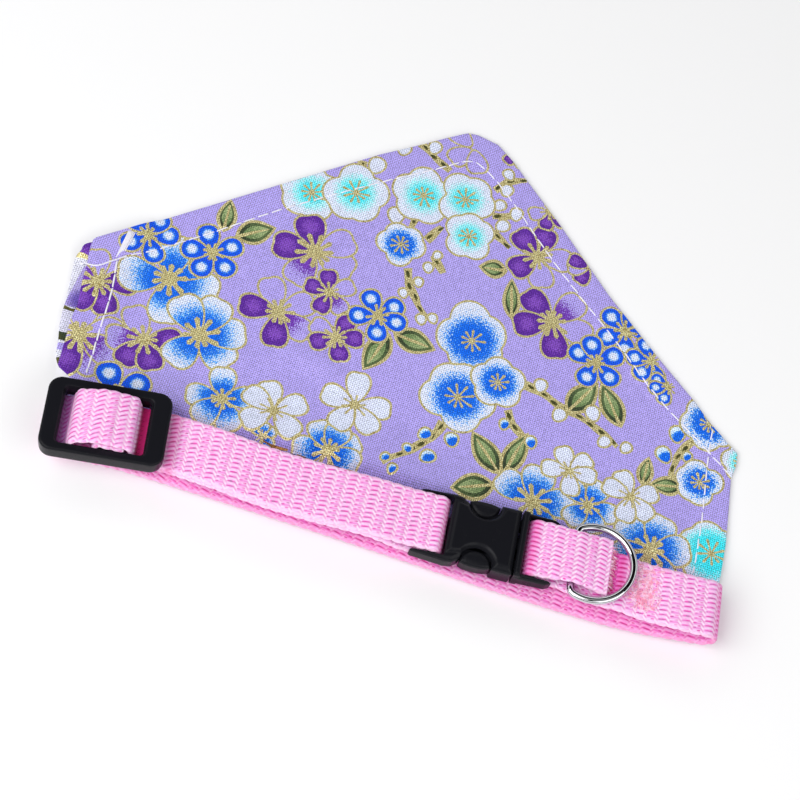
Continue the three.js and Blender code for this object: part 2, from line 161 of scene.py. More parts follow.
def beside(chain, distance, closed=False):
    """A chain in plan moved to its left."""
    ahead = headings(chain, closed)
    return chain + distance * np.stack([-ahead[:, 1], ahead[:, 0]], axis=1)


def turned(x, y, turn):
    """A place turned about the origin by degrees."""
    c = math.cos(math.radians(turn))
    s = math.sin(math.radians(turn))
    return x * c - y * s, x * s + y * c


def polar(centre, turns, reach):
    """Points about a centre, from turns in radians and how far out they reach."""
    return np.stack([centre[0] + reach * np.cos(turns), centre[1] + reach * np.sin(turns)], axis=-1)


def chain_distance(points, chain):
    """How far each point is from a chain of straight edges."""
    points = np.asarray(points, float)
    chain = np.asarray(chain, float)
    nearest = np.full(len(points), np.inf)
    for start, end in zip(chain[:-1], chain[1:]):
        edge = end - start
        t = np.clip(((points - start) @ edge) / (edge @ edge), 0, 1)
        gap = np.linalg.norm(points - (start + t[:, None] * edge), axis=1)
        nearest = np.minimum(nearest, gap)
    return nearest


def add_object(name, data):
    """A new object in the scene, with its mesh, light or camera."""
    made = bpy.data.objects.new(name, data)
    bpy.context.scene.collection.objects.link(made)
    return made


def add_mesh(name, points, faces):
    """A new mesh object in the scene, from points and faces of their indices."""
    mesh = bpy.data.meshes.new(name)
    mesh.from_pydata(np.asarray(points).tolist(), [], faces)
    return add_object(name, mesh)


def add_piece(name, points, faces, material):
    """A smooth object of one material, from points in the collar's axes."""
    piece = add_mesh(name, to_frame(points), faces)
    piece.data.materials.append(material)
    piece.data.shade_smooth()
    return piece


# ---- Meshes ----


def finish_piece(piece, body, slot, *nodes):
    """Rides a piece on its body and lets it stand for its CAD nodes; the slot is not used."""
    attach(piece, body)
    if nodes:
        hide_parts(*nodes)


def bands(rows, around, closed=False):
    """Faces between rounds of points, the first and last joined to each other if closed, or else capped."""
    faces = []
    for i in range(rows if closed else rows - 1):
        here = i * around
        after = (i + 1) % rows * around
        for k in range(around):
            other = (k + 1) % around
            faces.append([here + k, after + k, after + other, here + other])
    if not closed:
        last = (rows - 1) * around
        faces.append(list(range(around)))
        faces.append(list(range(last, last + around))[::-1])
    return faces


def tube(path, radius, sides, flatness=1.0, closed=False):
    """Points and faces of a round tube along a path, closed on itself or capped at its ends."""
    path = np.asarray(path, float)
    radii = np.broadcast_to(np.asarray(radius, float), (len(path),))
    ahead = headings(path, closed)
    across = np.cross(ahead, [0.0, 0.0, 1.0])
    across /= np.maximum(np.linalg.norm(across, axis=1), 1e-6)[:, None]
    up = np.cross(across, ahead)
    turns = np.linspace(0, 2 * math.pi, sides, endpoint=False)[None, :, None]
    ring = np.cos(turns) * across[:, None, :] + flatness * np.sin(turns) * up[:, None, :]
    points = path[:, None, :] + radii[:, None, None] * ring
    return points.reshape(-1, 3), bands(len(path), sides, closed)


def joined(parts):
    """Several lots of points and faces as one."""
    points = []
    faces = []
    start = 0
    for some_points, some_faces in parts:
        points.append(some_points)
        faces.extend([[index + start for index in face] for face in some_faces])
        start += len(some_points)
    return np.concatenate(points), faces


# ---- Materials ----


def linear(colour):
    """A screen colour with channels from 0 to 255 as linear light."""
    channels = np.asarray(colour, float) / 255
    return tuple(np.where(channels <= 0.04045, channels / 12.92, ((channels + 0.055) / 1.055) ** 2.4))


def opaque(colour):
    """Linear light with full alpha, from a screen colour."""
    return (*linear(colour), 1.0)


class Shader:
    """A material with a Principled shader, and short ways to add nodes before it."""

    def __init__(self, name):
        self.material = bpy.data.materials.new(name)
        self.material.use_nodes = True
        self.tree = self.material.node_tree
        self.tree.nodes.clear()
        self.surface = self.tree.nodes.new("ShaderNodeBsdfPrincipled")
        output = self.tree.nodes.new("ShaderNodeOutputMaterial")
        self.tree.links.new(self.surface.outputs["BSDF"], output.inputs["Surface"])
        self.place = self.put("TexCoord").outputs["Object"]

    def put(self, kind, values=(), **settings):
        """A new node with its settings, and its inputs set or linked."""
        node = self.tree.nodes.new("ShaderNode" + kind)
        for key, value in settings.items():
            setattr(node, key, value)
        for key, value in dict(values).items():
            self.feed(node.inputs[key], value)
        return node

    def feed(self, socket, value):
        """Links a socket to another, or sets it."""
        if isinstance(value, bpy.types.NodeSocket):
            self.tree.links.new(value, socket)
        else:
            socket.default_value = value

    def finish(self, **values):
        """Sets or links the shader's own sockets, named with underscores for spaces."""
        for key, value in values.items():
            self.feed(self.surface.inputs[key.replace("_", " ")], value)
        return self.material

    def math(self, operation, *values):
        """The result of a Math node."""
        return self.put("Math", enumerate(values), operation=operation).outputs[0]

    def times(self, first, second):
        """The product of two values."""
        return self.math("MULTIPLY", first, second)

    def minus(self, first, second):
        """One value less another."""
        return self.math("SUBTRACT", first, second)

    def scaled(self, value, factor, more):
        """A value times a factor, and something more."""
        return self.math("MULTIPLY_ADD", value, factor, more)

    def rise(self, value, low, high):
        """A soft step from 0 at low to 1 at high."""
        values = {"Value": value, "From Min": low, "From Max": high}
        return self.put("MapRange", values, interpolation_type="SMOOTHSTEP").outputs[0]

    def fall(self, value, low, high):
        """A soft step from 1 at low to 0 at high."""
        return self.minus(1.0, self.rise(value, low, high))

    def wave(self, value, pitch):
        """A sine from -1 to 1 over a length, one turn per pitch."""
        return self.math("SINE", self.times(value, 2 * math.pi / pitch))

    def from_nearest(self, value, pitch, start=0.0):
        """How far a value is from the nearest of even steps from a start."""
        share = self.math("DIVIDE", self.minus(value, start), pitch)
        return self.times(self.minus(share, self.math("ROUND", share)), pitch)

    def attribute(self, name, output="Fac"):
        """An attribute of the mesh, as a number, a Color or a Vector."""
        return self.put("Attribute", attribute_name=name).outputs[output]

    def split(self, vector):
        """The three parts of a vector."""
        return self.put("SeparateXYZ", {0: vector}).outputs

    def grey(self, value):
        """A grey of a value."""
        return self.put("CombineXYZ", {0: value, 1: value, 2: value}).outputs[0]

    def mix(self, factor, first, second, blend="MIX"):
        """Two colours mixed."""
        values = {0: factor, 6: first, 7: second}
        return self.put("Mix", values, data_type="RGBA", blend_type=blend).outputs[2]

    def between(self, factor, ends):
        """A mix of two colours given as red, green and blue."""
        return self.mix(factor, *(opaque(colour) for colour in ends))

    def noise(self, scale, detail=2.0, vector=None):
        """A noise value about a half."""
        values = {"Vector": vector or self.place, "Scale": scale, "Detail": detail}
        return self.put("TexNoise", values).outputs[0]

    def streaks(self, scales, detail):
        """A noise value about a half, finer along some axes than others."""
        return self.noise(1.0, detail, self.put("Mapping", {0: self.place, 3: scales}).outputs[0])

    def bump(self, height, distance, strength=1.0):
        """A normal from a height between 0 and 1."""
        values = {"Height": height, "Distance": distance, "Strength": strength}
        return self.put("Bump", values).outputs[0]


# ---- The cloth's shape ----

# The bandana's outline, round from the corner under the left end of the collar.
CLOTH_OUTLINE = [
    (-74.0, -5.0), (84.5, -5.0), (87.5, 9.7), (87.3, 14.6), (87.3, 21.4), (86.6, 30.4), (85.7, 39.6),
    (86.4, 43.6), (86.2, 47.1), (84.0, 48.6), (76.9, 54.0), (73.3, 57.6), (61.9, 66.8), (45.4, 80.9),
    (27.7, 98.3), (17.1, 108.0), (12.2, 112.6), (7.0, 116.5), (1.0, 117.7), (-1.8, 117.3), (-4.6, 115.4),
    (-7.6, 113.2), (-14.9, 107.8), (-22.7, 102.3), (-85.0, 51.7), (-85.1, 49.2), (-84.4, 44.5),
    (-83.9, 38.6), (-82.9, 32.6), (-83.2, 27.7), (-82.7, 22.4), (-82.2, 14.8), (-78.6, 13.0), (-78.0, 8.4),
]
SEAM_LONG = [
    (-77.9, 47.5), (-57.0, 64.3), (-42.4, 77.3), (-17.2, 96.1), (-6.9, 103.1), (0.1, 108.7), (3.2, 108.9),
    (8.8, 105.2), (13.9, 100.8), (30.5, 84.1), (50.8, 67.2), (61.4, 57.0), (70.0, 50.7), (76.4, 46.7),
    (80.0, 43.9), (85.3, 40.1),
]
SEAM_RIGHT = [(78.7, 51.6), (78.7, 44.9), (79.5, 35.1), (80.3, 26.0), (80.2, 19.1), (80.4, 11.0)]
SEAM_LEFT = [(-77.6, 47.4), (-75.9, 38.3), (-75.6, 26.8), (-75.1, 21.1), (-75.0, 15.0)]
SEAMS = [SEAM_LONG, SEAM_RIGHT, SEAM_LEFT]

# How the cloth lifts under the collar's front half: y and lift.
COLLAR_ROLL = [(-6.0, 0.0), (9.8, 0.0), (11.6, 0.9), (14.0, 2.0), (17.5, 1.7), (23.0, 0.7), (31.0, 0.0)]
# Soft swellings and creases: middle x and y, half length, half width, turn in degrees, lift.
SWELLINGS = [
    (-44.0, 30.0, 15.0, 6.5, 30.0, 0.8),
    (-20.0, 36.0, 16.0, 6.0, -10.0, 0.9),
    (62.0, 26.0, 14.0, 7.0, 15.0, 0.7),
]
CREASES = [
    (-34.0, 29.0, 12.0, 2.4, 62.0, -0.34),
    (-15.0, 37.0, 14.0, 2.6, 24.0, -0.30),
    (-52.0, 25.0, 9.0, 2.2, 100.0, -0.20),
    (4.0, 27.0, 13.0, 2.8, -30.0, -0.18),
    (30.0, 60.0, 18.0, 4.0, 48.0, -0.16),
    (-30.0, 74.0, 20.0, 4.0, 40.0, 0.15),
    (66.0, 44.0, 14.0, 3.2, -50.0, -0.20),
    (74.0, 20.0, 12.0, 2.4, 80.0, 0.22),
]
# Width of the hem, half the thickness of the cloth in the hem and inside it, and how far its rim is rounded.
HEM_WIDTH = 8.6
HEM_HALF = 0.5
CLOTH_HALF = 0.36
RIM_ROUND = 0.5
# The cloth's lift over the folded layer at its left, the height of its ripples, and its gap to the table.
UNDER_LIFT = 1.3
RIPPLE_RISE = 0.08
TABLE_GAP = 0.02


def cloth_lift(x, y):
    """How far the middle of the cloth stands above its place flat on the table."""
    along_collar = smoothstep(x, -84.0, -58.0) * (1 - 0.7 * smoothstep(x, 70.0, 86.0))
    lift = along(COLLAR_ROLL, y) * along_collar
    for cx, cy, half_length, half_width, turn, height in SWELLINGS:
        a, b = turned(x - cx, y - cy, -turn)
        fade = np.clip(1 - (a / half_length) ** 2 - (b / half_width) ** 2, 0, 1)
        lift = lift + height * fade * fade
    on_hem = UNDER_LIFT * (1 - smoothstep(x, -75.6, -69.0)) * smoothstep(y, 8.0, 14.0)
    return np.maximum(lift, on_hem)


def cloth_middle(x, y, half):
    """Height of the middle of the cloth, where half is half its thickness."""
    z = half + cloth_lift(x, y)
    for cx, cy, half_length, half_width, turn, height in CREASES:
        a, b = turned(x - cx, y - cy, -turn)
        z = z + height * hump(a, 0, half_length) * hump(b, 0, half_width)
    ripple = np.sin(x / 5.3 + 1.7 * np.sin(y / 9.1)) * np.sin(y / 6.1 + 1.3 * np.sin(x / 11.7))
    z = z + RIPPLE_RISE * ripple * smoothstep(y, 14.0, 26.0)
    return np.maximum(z, half + TABLE_GAP)


def seam_dip(points):
    """How far the thread draws the cloth down, along the seams."""
    dip = np.zeros(len(points))
    for seam in SEAMS:
        gap = chain_distance(points, seam)
        pucker = 0.05 * hump(gap, 0, 2.2) * np.sin(points @ [1.7, 1.1])
        dip = np.maximum(dip, 0.16 * hump(gap, 0, 0.55) + pucker)
    return dip


def rim_gap(points):
    """How far each point is from the bandana's rim."""
    return chain_distance(points, looped(CLOTH_OUTLINE))


def cloth_layers(points, gap):
    """Height of the middle of the cloth and half its thickness, at points a gap in from its rim."""
    hem = 1 - smoothstep(gap, HEM_WIDTH, HEM_WIDTH + 1.0)
    half = CLOTH_HALF + (HEM_HALF - CLOTH_HALF) * hem
    drawn_in = seam_dip(points) / 2
    return cloth_middle(points[:, 0], points[:, 1], half) - drawn_in, half - drawn_in


def cloth_top(points):
    """Height of the cloth's upper face at points of its plan."""
    return sum(cloth_layers(points, rim_gap(points)))


# ---- The print ----

LILAC = (170, 157, 228)
GOLD = (206, 186, 104)
WHITE = (212, 219, 240)
BLUE = (4, 98, 224)
AZURE = (84, 172, 244)
PALE_BLUE = (150, 196, 246)
CYAN = (58, 222, 236)
VIOLET = (88, 38, 148)
DARK_LEAF = (50, 62, 42)
OLIVE = (66, 68, 34)


def dye(heart, ink=None, fade=(0.0, 1.0), speckle=0.0, gold=0.0, middle=None):
    """A colour at the heart of a shape and another at its edge, and how one turns into the other."""
    ink = ink or heart
    middle = middle or tuple((a + b) / 2 for a, b in zip(heart, ink))
    return {"heart": heart, "middle": middle, "ink": ink, "fade": fade, "speckle": speckle, "gold": gold}


GROUND = dye(LILAC)
OUTLINE = dye(GOLD, gold=1.0)
STREAK = dye(OLIVE, (96, 92, 44), (0.2, 1.0), 0.7)
WHITE_PETAL = dye((208, 212, 236), WHITE, (0.1, 0.7), 0.4)
SPLIT_BLUE = dye(BLUE, WHITE, (0.25, 1.0), 0.6, middle=AZURE)
PLUM_BLUE = dye(BLUE, WHITE, (0.30, 0.98), 0.7, middle=AZURE)
PLUM_CYAN = dye(CYAN, WHITE, (0.10, 0.90), 0.4, middle=(150, 232, 238))
DEEP_CYAN = dye(CYAN, WHITE, (0.36, 1.10), 0.5, middle=(130, 230, 238))
DOTTED_BLUE = dye(BLUE, (14, 82, 224), (0.2, 0.9), 0.6)
DOT = dye(WHITE, BLUE, (0.3, 1.0), 0.5, middle=PALE_BLUE)
SOLID_VIOLET = dye((124, 72, 182), VIOLET, (0.0, 0.7), 1.0, middle=(100, 48, 160))
HALF_VIOLET = dye((108, 56, 170), LILAC, (0.25, 0.9), 0.9)
GREEN = dye(DARK_LEAF, (84, 102, 64), (0.0, 0.85), 0.8)
LIGHT_GREEN = dye((106, 130, 82), (148, 166, 116), (0.1, 0.9), 0.8)
# Painted shade beside the collar: the gold print darkened to rust brown, and the lilac ground in the front
# half's shadow.
SHADED_GOLD = dye((150, 104, 52), (196, 150, 84), (0.2, 1.0), 0.8)
MAUVE_SHADE = dye((128, 110, 150))
BLUE_BUD = dye(BLUE, (206, 226, 248), (0.55, 1.2), 0.6, middle=AZURE)

# Plum blossoms: dye, x, y, size, turns of the lobes, and how much longer towards the first lobe.
CYAN_PLUMS = [
    (-36.7, 84.4, 8.3, (108, 170, -130, -60, 30), 0.0),
    (-25.7, 88.4, 8.7, (102, 20, -54, -110, -160), 0.0),
    (-8.5, 93.9, 8.5, (100, 17, -59, -118, 172), 0.0),
    (2.3, 96.6, 8.0, (126, 57, -2, -72, -122), 0.0),
    (5.8, 85.8, 7.0, (147, 39, -49, -120, 95), 0.0),
    (87.6, 44.6, 5.4, (110, 180, -110, -40, 40), 0.0),
]
DEEP_CYAN_PLUMS = [(83.9, 17.4, 8.6, (110, 165, -120, -40, 40), 0.0)]
BLUE_PLUMS = [
    (-10.7, 77.3, 6.4, (119, 54, 6, -84, -175), 0.0),
    (13.5, 55.9, 9.0, (106, 36, -32, -96, -172), 0.26),
    (13.7, 39.1, 9.6, (128, -163, -67, 6, 84), 0.0),
    (22.6, 46.5, 7.1, (100, 28, -44, -116, 172), 0.0),
    (77.9, 35.8, 6.2, (117, 20, -80, 173, -130), 0.0),
    (77.4, 52.6, 7.5, (130, -160, -90, -20, 50), 0.0),
]
# Blossoms with parted petals: x, y, size, turns of the petals.
BIG_BLUES = [
    (-64.0, 47.6, 13.0, (-167, -77, 0, 55, 99)),
    (-52.3, 34.8, 12.0, (-115, -34, 20, 78, 132)),
    (-42.0, 19.0, 9.0, (103, -171, 23, -60, -120)),
    (-30.0, 12.4, 3.8, (40, 140, 90, -30)),
    (-13.7, 13.7, 9.0, (-167, 122, 35, -11, 78)),
    (37.8, 16.4, 11.5, (153, 88, 15, -60)),
    (51.4, 20.2, 8.0, (140, 70, -8, -65, -125)),
    (68.7, 13.1, 11.0, (146, 78, 18, -50, -150)),
]
SMALL_BLUES = [
    (-72.5, 57.5, 8.0, (-133, -59, 20, 73, 150)),
    (-55.9, 58.5, 8.2, (118, 36, -37, -106, -172)),
    (-11.2, 55.0, 7.8, (125, 48, -5, -79, -161)),
    (51.3, 71.8, 8.0, (145, -79, -143, 19, 80)),
    (59.7, 65.7, 7.0, (-65, -115, -173, 120)),
    (45.8, 60.5, 8.0, (166, 114, 39, -36, -108)),
    (-66.8, 11.8, 9.4, (121, 44)),
    (65.4, 59.6, 5.4, (-100, 160, -160)),
]
SAKURA = [
    (-29.1, 20.1, 9.3, (114, 36, -36, -139, 155)),
    (-10.5, 28.6, 9.3, (96, 9, -45, -113, 173)),
    (45.2, 28.3, 7.3, (118, 49, 2, -78, -170)),
    (61.4, 25.9, 8.0, (119, 29, -36, -95, 166)),
]
# Violet blossoms: x, y, size, and petals as (turn, kind), the kinds being solid, empty and half.
VIOLETS = [
    (-79.9, 24.4, 11.6, ((-52, "h"), (-98, "s"), (98, "e"), (26, "e"), (-16, "h"))),
    (-80.2, 40.0, 10.0, ((20, "s"), (-58, "s"), (-112, "s"), (110, "e"), (170, "h"))),
    (-64.7, 29.1, 10.0, ((126, "e"), (-164, "h"), (-112, "s"), (-61, "s"), (17, "s"))),
    (-31.2, 67.6, 12.0, ((-107, "h"), (-14, "e"), (38, "e"), (115, "s"), (-175, "s"))),
    (-35.5, 47.6, 10.2, ((38, "e"), (119, "e"), (-25, "h"), (-82, "s"), (-175, "s"))),
    (-24.7, 57.3, 7.3, ((36, "e"), (-43, "h"), (-102, "s"), (176, "s"), (108, "s"))),
    (-19.8, 45.4, 7.7, ((162, "e"), (72, "s"), (14, "s"), (-65, "s"), (-147, "s"))),
    (32.3, 68.3, 11.0, ((-5, "e"), (57, "h"), (143, "s"), (-73, "s"), (-156, "s"))),
    (24.7, 86.1, 10.0, ((-71, "e"), (8, "e"), (86, "s"), (-131, "s"), (141, "s"))),
    (24.6, 100.6, 6.0, ((-90, "s"), (-30, "s"), (-150, "e"))),
    (38.6, 87.4, 6.6, ((-112, "s"), (-160, "e"), (170, "s"))),
    (12.4, 115.6, 5.0, ((-60, "s"), (-120, "s"))),
    (0.7, 113.0, 8.6, ((-128, "e"), (-66, "e"), (150, "e"))),
]
# Leaves: base x and y, tip x and y, half width.
LEAVES = [
    (28.3, 21.6, 20.2, 30.2, 2.9), (29.2, 21.9, 32.7, 34.0, 2.4), (27.6, 17.7, 18.4, 14.0, 3.1),
    (41.4, 44.4, 46.9, 53.8, 3.0), (55.5, 44.7, 48.9, 54.2, 2.7), (17.5, 79.0, 11.1, 78.0, 2.3),
    (21.8, 65.8, 19.7, 76.2, 1.9), (-7.1, 50.6, -10.7, 39.8, 2.8), (-5.9, 51.4, 4.1, 50.3, 3.0),
    (-51.5, 65.1, -43.5, 70.4, 3.0), (-55.0, 65.4, -55.8, 74.1, 2.1), (63.8, 30.4, 64.1, 37.8, 1.7),
    (74.0, 33.3, 66.2, 31.2, 2.2),
]
# Twigs, as chains of points.
TWIGS = [
    [(11.9, 31.1), (9.9, 25.7), (6.3, 21.5), (2.7, 17.8), (-0.5, 14.9)],
    [(26.6, 39.8), (28.7, 36.4), (30.8, 34.5), (32.4, 33.2)],
    [(29.4, 48.3), (35.8, 46.7), (40.3, 44.8), (48.1, 43.0), (55.7, 38.8)],
    [(-7.4, 71.0), (-5.6, 66.4), (-2.3, 61.3), (1.1, 58.5)],
    [(-4.8, 80.8), (-1.5, 86.1)],
    [(-9.1, 87.0), (-9.3, 82.4)],
    [(-1.5, 77.1), (1.7, 72.6)],
    [(-13.1, 109.2), (-8.6, 106.6), (-3.6, 103.7)],
    [(9.2, 102.1), (11.9, 105.6), (16.8, 108.0)],
    [(11.4, 89.1), (17.0, 86.2)],
    [(10.3, 94.1), (15.5, 96.0)],
    [(-26.5, 98.6), (-26.2, 94.5)],
    [(75.7, 48.4), (73.3, 45.0), (70.9, 40.8), (70.5, 35.9), (71.6, 34.9)],
]
# Buds: x, y and half width, by dye.
BLUE_BUDS = [
    (8.1, 26.5, 1.9), (14.9, 27.0, 2.1), (10.1, 20.3, 2.2), (4.9, 20.9, 1.5), (0.1, 16.5, 1.4),
    (2.5, 14.0, 1.4), (26.7, 35.6, 1.6), (34.2, 32.9, 1.8), (70.0, 47.2, 2.4), (67.7, 40.5, 2.4),
    (73.6, 41.9, 1.5),
]
WHITE_BUDS = [
    (33.3, 49.2, 2.0), (39.6, 42.7, 2.1), (47.8, 45.9, 2.3), (52.2, 39.1, 1.9), (57.9, 39.2, 1.7),
    (-3.6, 67.9, 1.5), (-6.6, 63.5, 1.5), (-0.4, 57.6, 1.6), (2.4, 58.8, 1.5), (-0.8, 77.3, 1.4),
    (-2.2, 73.0, 1.6), (-9.2, 109.3, 2.1), (-16.9, 106.0, 2.1), (11.8, 108.0, 1.8), (12.3, 103.0, 2.0),
    (11.5, 97.9, 1.9), (16.4, 96.7, 2.0), (13.6, 92.0, 2.1), (-14.0, 85.4, 2.6), (-22.6, 98.4, 2.7),
]

# Painted shade along the collar, where the cloth dips under its front half: a mauve shadow band, and the gold
# print painted rust brown as in shade. Each is a chain of points, a width and a dye.
BY_COLLAR = [
    ([(-33.0, 10.4), (-22.0, 10.2), (-10.0, 9.6), (3.0, 9.0)], 1.5, MAUVE_SHADE),
    ([(-29.5, 11.6), (-26.5, 11.0), (-23.0, 11.2)], 0.9, SHADED_GOLD),
    ([(-12.5, 10.8), (-9.0, 10.4), (-5.0, 10.6), (-1.0, 9.8)], 1.1, SHADED_GOLD),
    ([(-20.5, 10.8), (-17.0, 10.4)], 0.7, SHADED_GOLD),
]

# How far a gold line reaches to each side of a shape's edge.
LINE = 0.31
# How much longer and wider the leaves are than their rows say, and how far apart a ribbon's points are.
LEAF_SCALE = 1.08
RIBBON_STEP = 0.7
# Colours of the gold's grains, and of the cotton's unprinted side.
METALLIC_GOLDS = ((156, 134, 70), (255, 248, 190))
UNPRINTED = (206, 202, 224)


def wobble(index, seed):
    """A fixed uneven value between -1 and 1."""
    return math.sin(12.9898 * (index + 1) + 78.233 * seed)


def egg(centre, turn, inner, outer, half_width, notch=0.0, grow=0.0, count=22, pear=0.2):
    """An egg-shaped petal, wider towards its tip."""
    t = np.linspace(0, 2 * math.pi, count, endpoint=False)
    half = (outer - inner) / 2 + grow
    from_tip = np.minimum(t, 2 * math.pi - t)
    out = (inner + outer) / 2 + half * np.cos(t) - notch * hump(from_tip, 0, 0.32)
    side = (half_width + grow) * np.sin(t) * (1 + pear * np.cos(t)) / (1 + 0.5 * pear * pear)
    return placed(centre, turn, out, side)


def placed(centre, turn, out, side):
    """Points given along and across a direction from a centre."""
    return np.stack(turned(out, side, turn), axis=1) + centre


def lobed(centre, size, lobes, longer=0.0, grow=0.0, count=66):
    """A plum blossom's outline: a round of lobes run together."""
    turns = np.linspace(-math.pi, math.pi, count, endpoint=False)
    reach = np.full(count, 0.66 * size)
    for turn in lobes:
        gap = (turns - math.radians(turn) + math.pi) % (2 * math.pi) - math.pi
        under = 0.53**2 - (0.49 * np.sin(gap)) ** 2
        lobe = 0.49 * np.cos(gap) + np.sqrt(np.maximum(under, 0))
        reach = np.maximum(reach, np.where(np.cos(gap) > 0, lobe * size, 0))
    first = np.cos(turns - math.radians(lobes[0]))
    return polar(centre, turns, reach * (1 + longer * np.maximum(first, 0) ** 2) + grow)


def star(centre, reach, arms, waist, knob, core, turn, seed):
    """A star of uneven stubby arms."""
    middles = [2 * math.pi * (k + 0.16 * wobble(k, seed)) / arms for k in range(arms)]
    rows = []
    for k, middle in enumerate(middles):
        before = middles[k - 1] - (2 * math.pi if k == 0 else 0)
        tip = reach * (0.9 + 0.16 * wobble(k, seed + 3))
        at_waist = math.asin(min(0.9, waist / (0.5 * tip)))
        at_knob = math.asin(min(0.9, knob / (0.88 * tip)))
        rows.append(((before + middle) / 2, core))
        for side, share in ((-at_waist, 0.5), (-at_knob, 0.88), (0, 1), (at_knob, 0.88), (at_waist, 0.5)):
            rows.append((middle + side, share * tip))
    turns, reaches = np.array(rows).T
    return polar(centre, turns + math.radians(turn), reaches)


def leaf(base, run, half_width, grow=0.0, count=12):
    """A pointed leaf from its base along its run."""
    length = math.hypot(*run)
    t = np.linspace(0, 1, count)
    out = -grow + t * (length + 2 * grow)
    belly = (half_width + grow) * np.sin(math.pi * t**0.85) ** 0.9
    ahead = np.concatenate([out, out[-2:0:-1]])
    side = np.concatenate([-belly, belly[-2:0:-1]])
    return placed(base, math.degrees(math.atan2(run[1], run[0])), ahead, side)


def ribbon(chain, widths, ragged, seed):
    """A band along a chain, with uneven edges."""
    chain = resample(chain, RIBBON_STEP)
    half = np.interp(np.linspace(0, 1, len(chain)), np.linspace(0, 1, len(widths)), widths) / 2
    sides = []
    for direction, more in ((-1, 5), (1, 0)):
        uneven = np.array([wobble(i, seed + more) for i in range(len(chain))])
        sides.append(beside(chain, direction * (half + ragged * uneven)[:, None]))
    return np.concatenate([sides[0], sides[1][::-1]])


class Chart:
    """The shapes of a print, each over the ones before it."""

    def __init__(self):
        self.outlines = []
        self.dyes = []
        self.spots = []

    def add(self, outline, tint, centre=(0, 0), size=1.0):
        """One closed shape, with the place and size that its colours spread over."""
        ahead = np.roll(outline, -1, axis=0)
        area = np.sum(outline[:, 0] * ahead[:, 1] - ahead[:, 0] * outline[:, 1])
        self.outlines.append(outline if area > 0 else outline[::-1])
        self.dyes.append(tint)
        self.spots.append((*centre, size))

    def lined(self, shape, tint, centre, size):
        """A shape with a gold line round it, shape being a function of how far it grows."""
        self.add(shape(LINE), OUTLINE)
        self.add(shape(-LINE), tint, centre, size)

    def petal(self, centre, turn, size, inner, outer, width, notch, tint, spot, spread):
        """A petal from near a blossom's middle outwards, its proportions being shares of its size."""
        self.lined(
            lambda grow: egg(centre, turn, inner * size, outer, width * size, notch * size, grow, 24, 0.36),
            tint, spot, spread,
        )

    def twig(self, chain, seed):
        """A gold twig with dark streaks."""
        self.add(ribbon(chain, (2.5, 2.1, 1.7), 0.25, seed), OUTLINE)
        line = resample(chain, RIBBON_STEP)
        for k in range(1, len(line) - 3, 5):
            streak = line[k : k + 4] + 0.22 * wobble(k, seed)
            self.add(ribbon(streak, (0.4, 1.1, 0.4), 0.12, seed + k), STREAK, streak[1], 1.2)

    def leaf(self, x0, y0, x1, y1, half_width):
        """A leaf with a gold line round it and along its middle."""
        base = np.array([x0, y0])
        run = LEAF_SCALE * (np.array([x1, y1]) - base)
        half = LEAF_SCALE * half_width
        length = math.hypot(*run)
        self.lined(lambda grow: leaf(base, run, half, grow * 1.5), GREEN, base, length)
        self.add(leaf(base + 0.16 * run, 0.7 * run, 0.58 * half), LIGHT_GREEN, base, length)
        self.add(ribbon([base, base + 0.84 * run], (0.95, 0.75, 0.5), 0.1, x0), OUTLINE)

    def bud(self, x, y, half, tint):
        """A round bud."""
        turn = 90 + 40 * wobble(x, y)
        heart = (x + 0.4 * half, y - 0.4 * half)
        self.lined(lambda grow: egg((x, y), turn, -half, half, 0.86 * half, 0, grow, 14), tint, heart, half)

    def plum(self, x, y, size, lobes, longer, tint):
        """A round blossom with thin gold threads at its heart."""
        centre = (x, y)
        reach = size * (1 + 0.5 * longer)
        self.lined(lambda grow: lobed(centre, size, lobes, longer, grow), tint, centre, reach)
        self.add(star(centre, 0.45 * size, 9, 0.24, 0.4, 0.08 * size, 20 * wobble(x, 1), y), OUTLINE)

    def parted(self, x, y, size, turns, tint, width):
        """Parted petals about a heart."""
        for k, turn in enumerate(turns):
            outer = size * (1 + 0.03 * wobble(k, x))
            self.petal((x, y), turn, size, 0.06, outer, width, 0.05, tint, (x, y), size)

    def heart(self, x, y, size, arms, bold):
        """A gold star over the middle of a blossom."""
        shape = star((x, y), size, arms, 0.042 * bold, 0.062 * bold, 0.36 * size, 17 * wobble(y, 2), x)
        self.add(shape, OUTLINE)

    def dotted(self, x, y, size, turns):
        """A small blossom of round petals, each with a pale dot."""
        for turn in turns:
            middle = polar((x, y), math.radians(turn), 0.64 * size)
            self.lined(
                lambda grow: egg((x, y), turn, 0.12 * size, size, 0.36 * size, 0, grow, 20, 0.3),
                DOTTED_BLUE, middle, 0.34 * size,
            )
            reach = 0.23 * size
            self.add(egg(middle, turn, -reach, reach, 0.2 * size, 0, 0, 14), DOT, middle, reach)
        self.heart(x, y, 0.42 * size, 8, size)

    def violet(self, x, y, size, petals):
        """A blossom whose petals are some of them full, some empty and some half full."""
        tints = {"s": SOLID_VIOLET, "e": GROUND, "h": HALF_VIOLET}
        for k, (turn, kind) in enumerate(petals):
            outer = size * (1 + 0.04 * wobble(k, x))
            middle = polar((x, y), math.radians(turn), 0.62 * size)
            spot, spread = ((x, y), size) if kind == "h" else (middle, 0.5 * size)
            self.petal((x, y), turn, size, 0.08, outer, 0.345, 0.06, tints[kind], spot, spread)
        self.heart(x, y, 0.45 * size, 10, size)


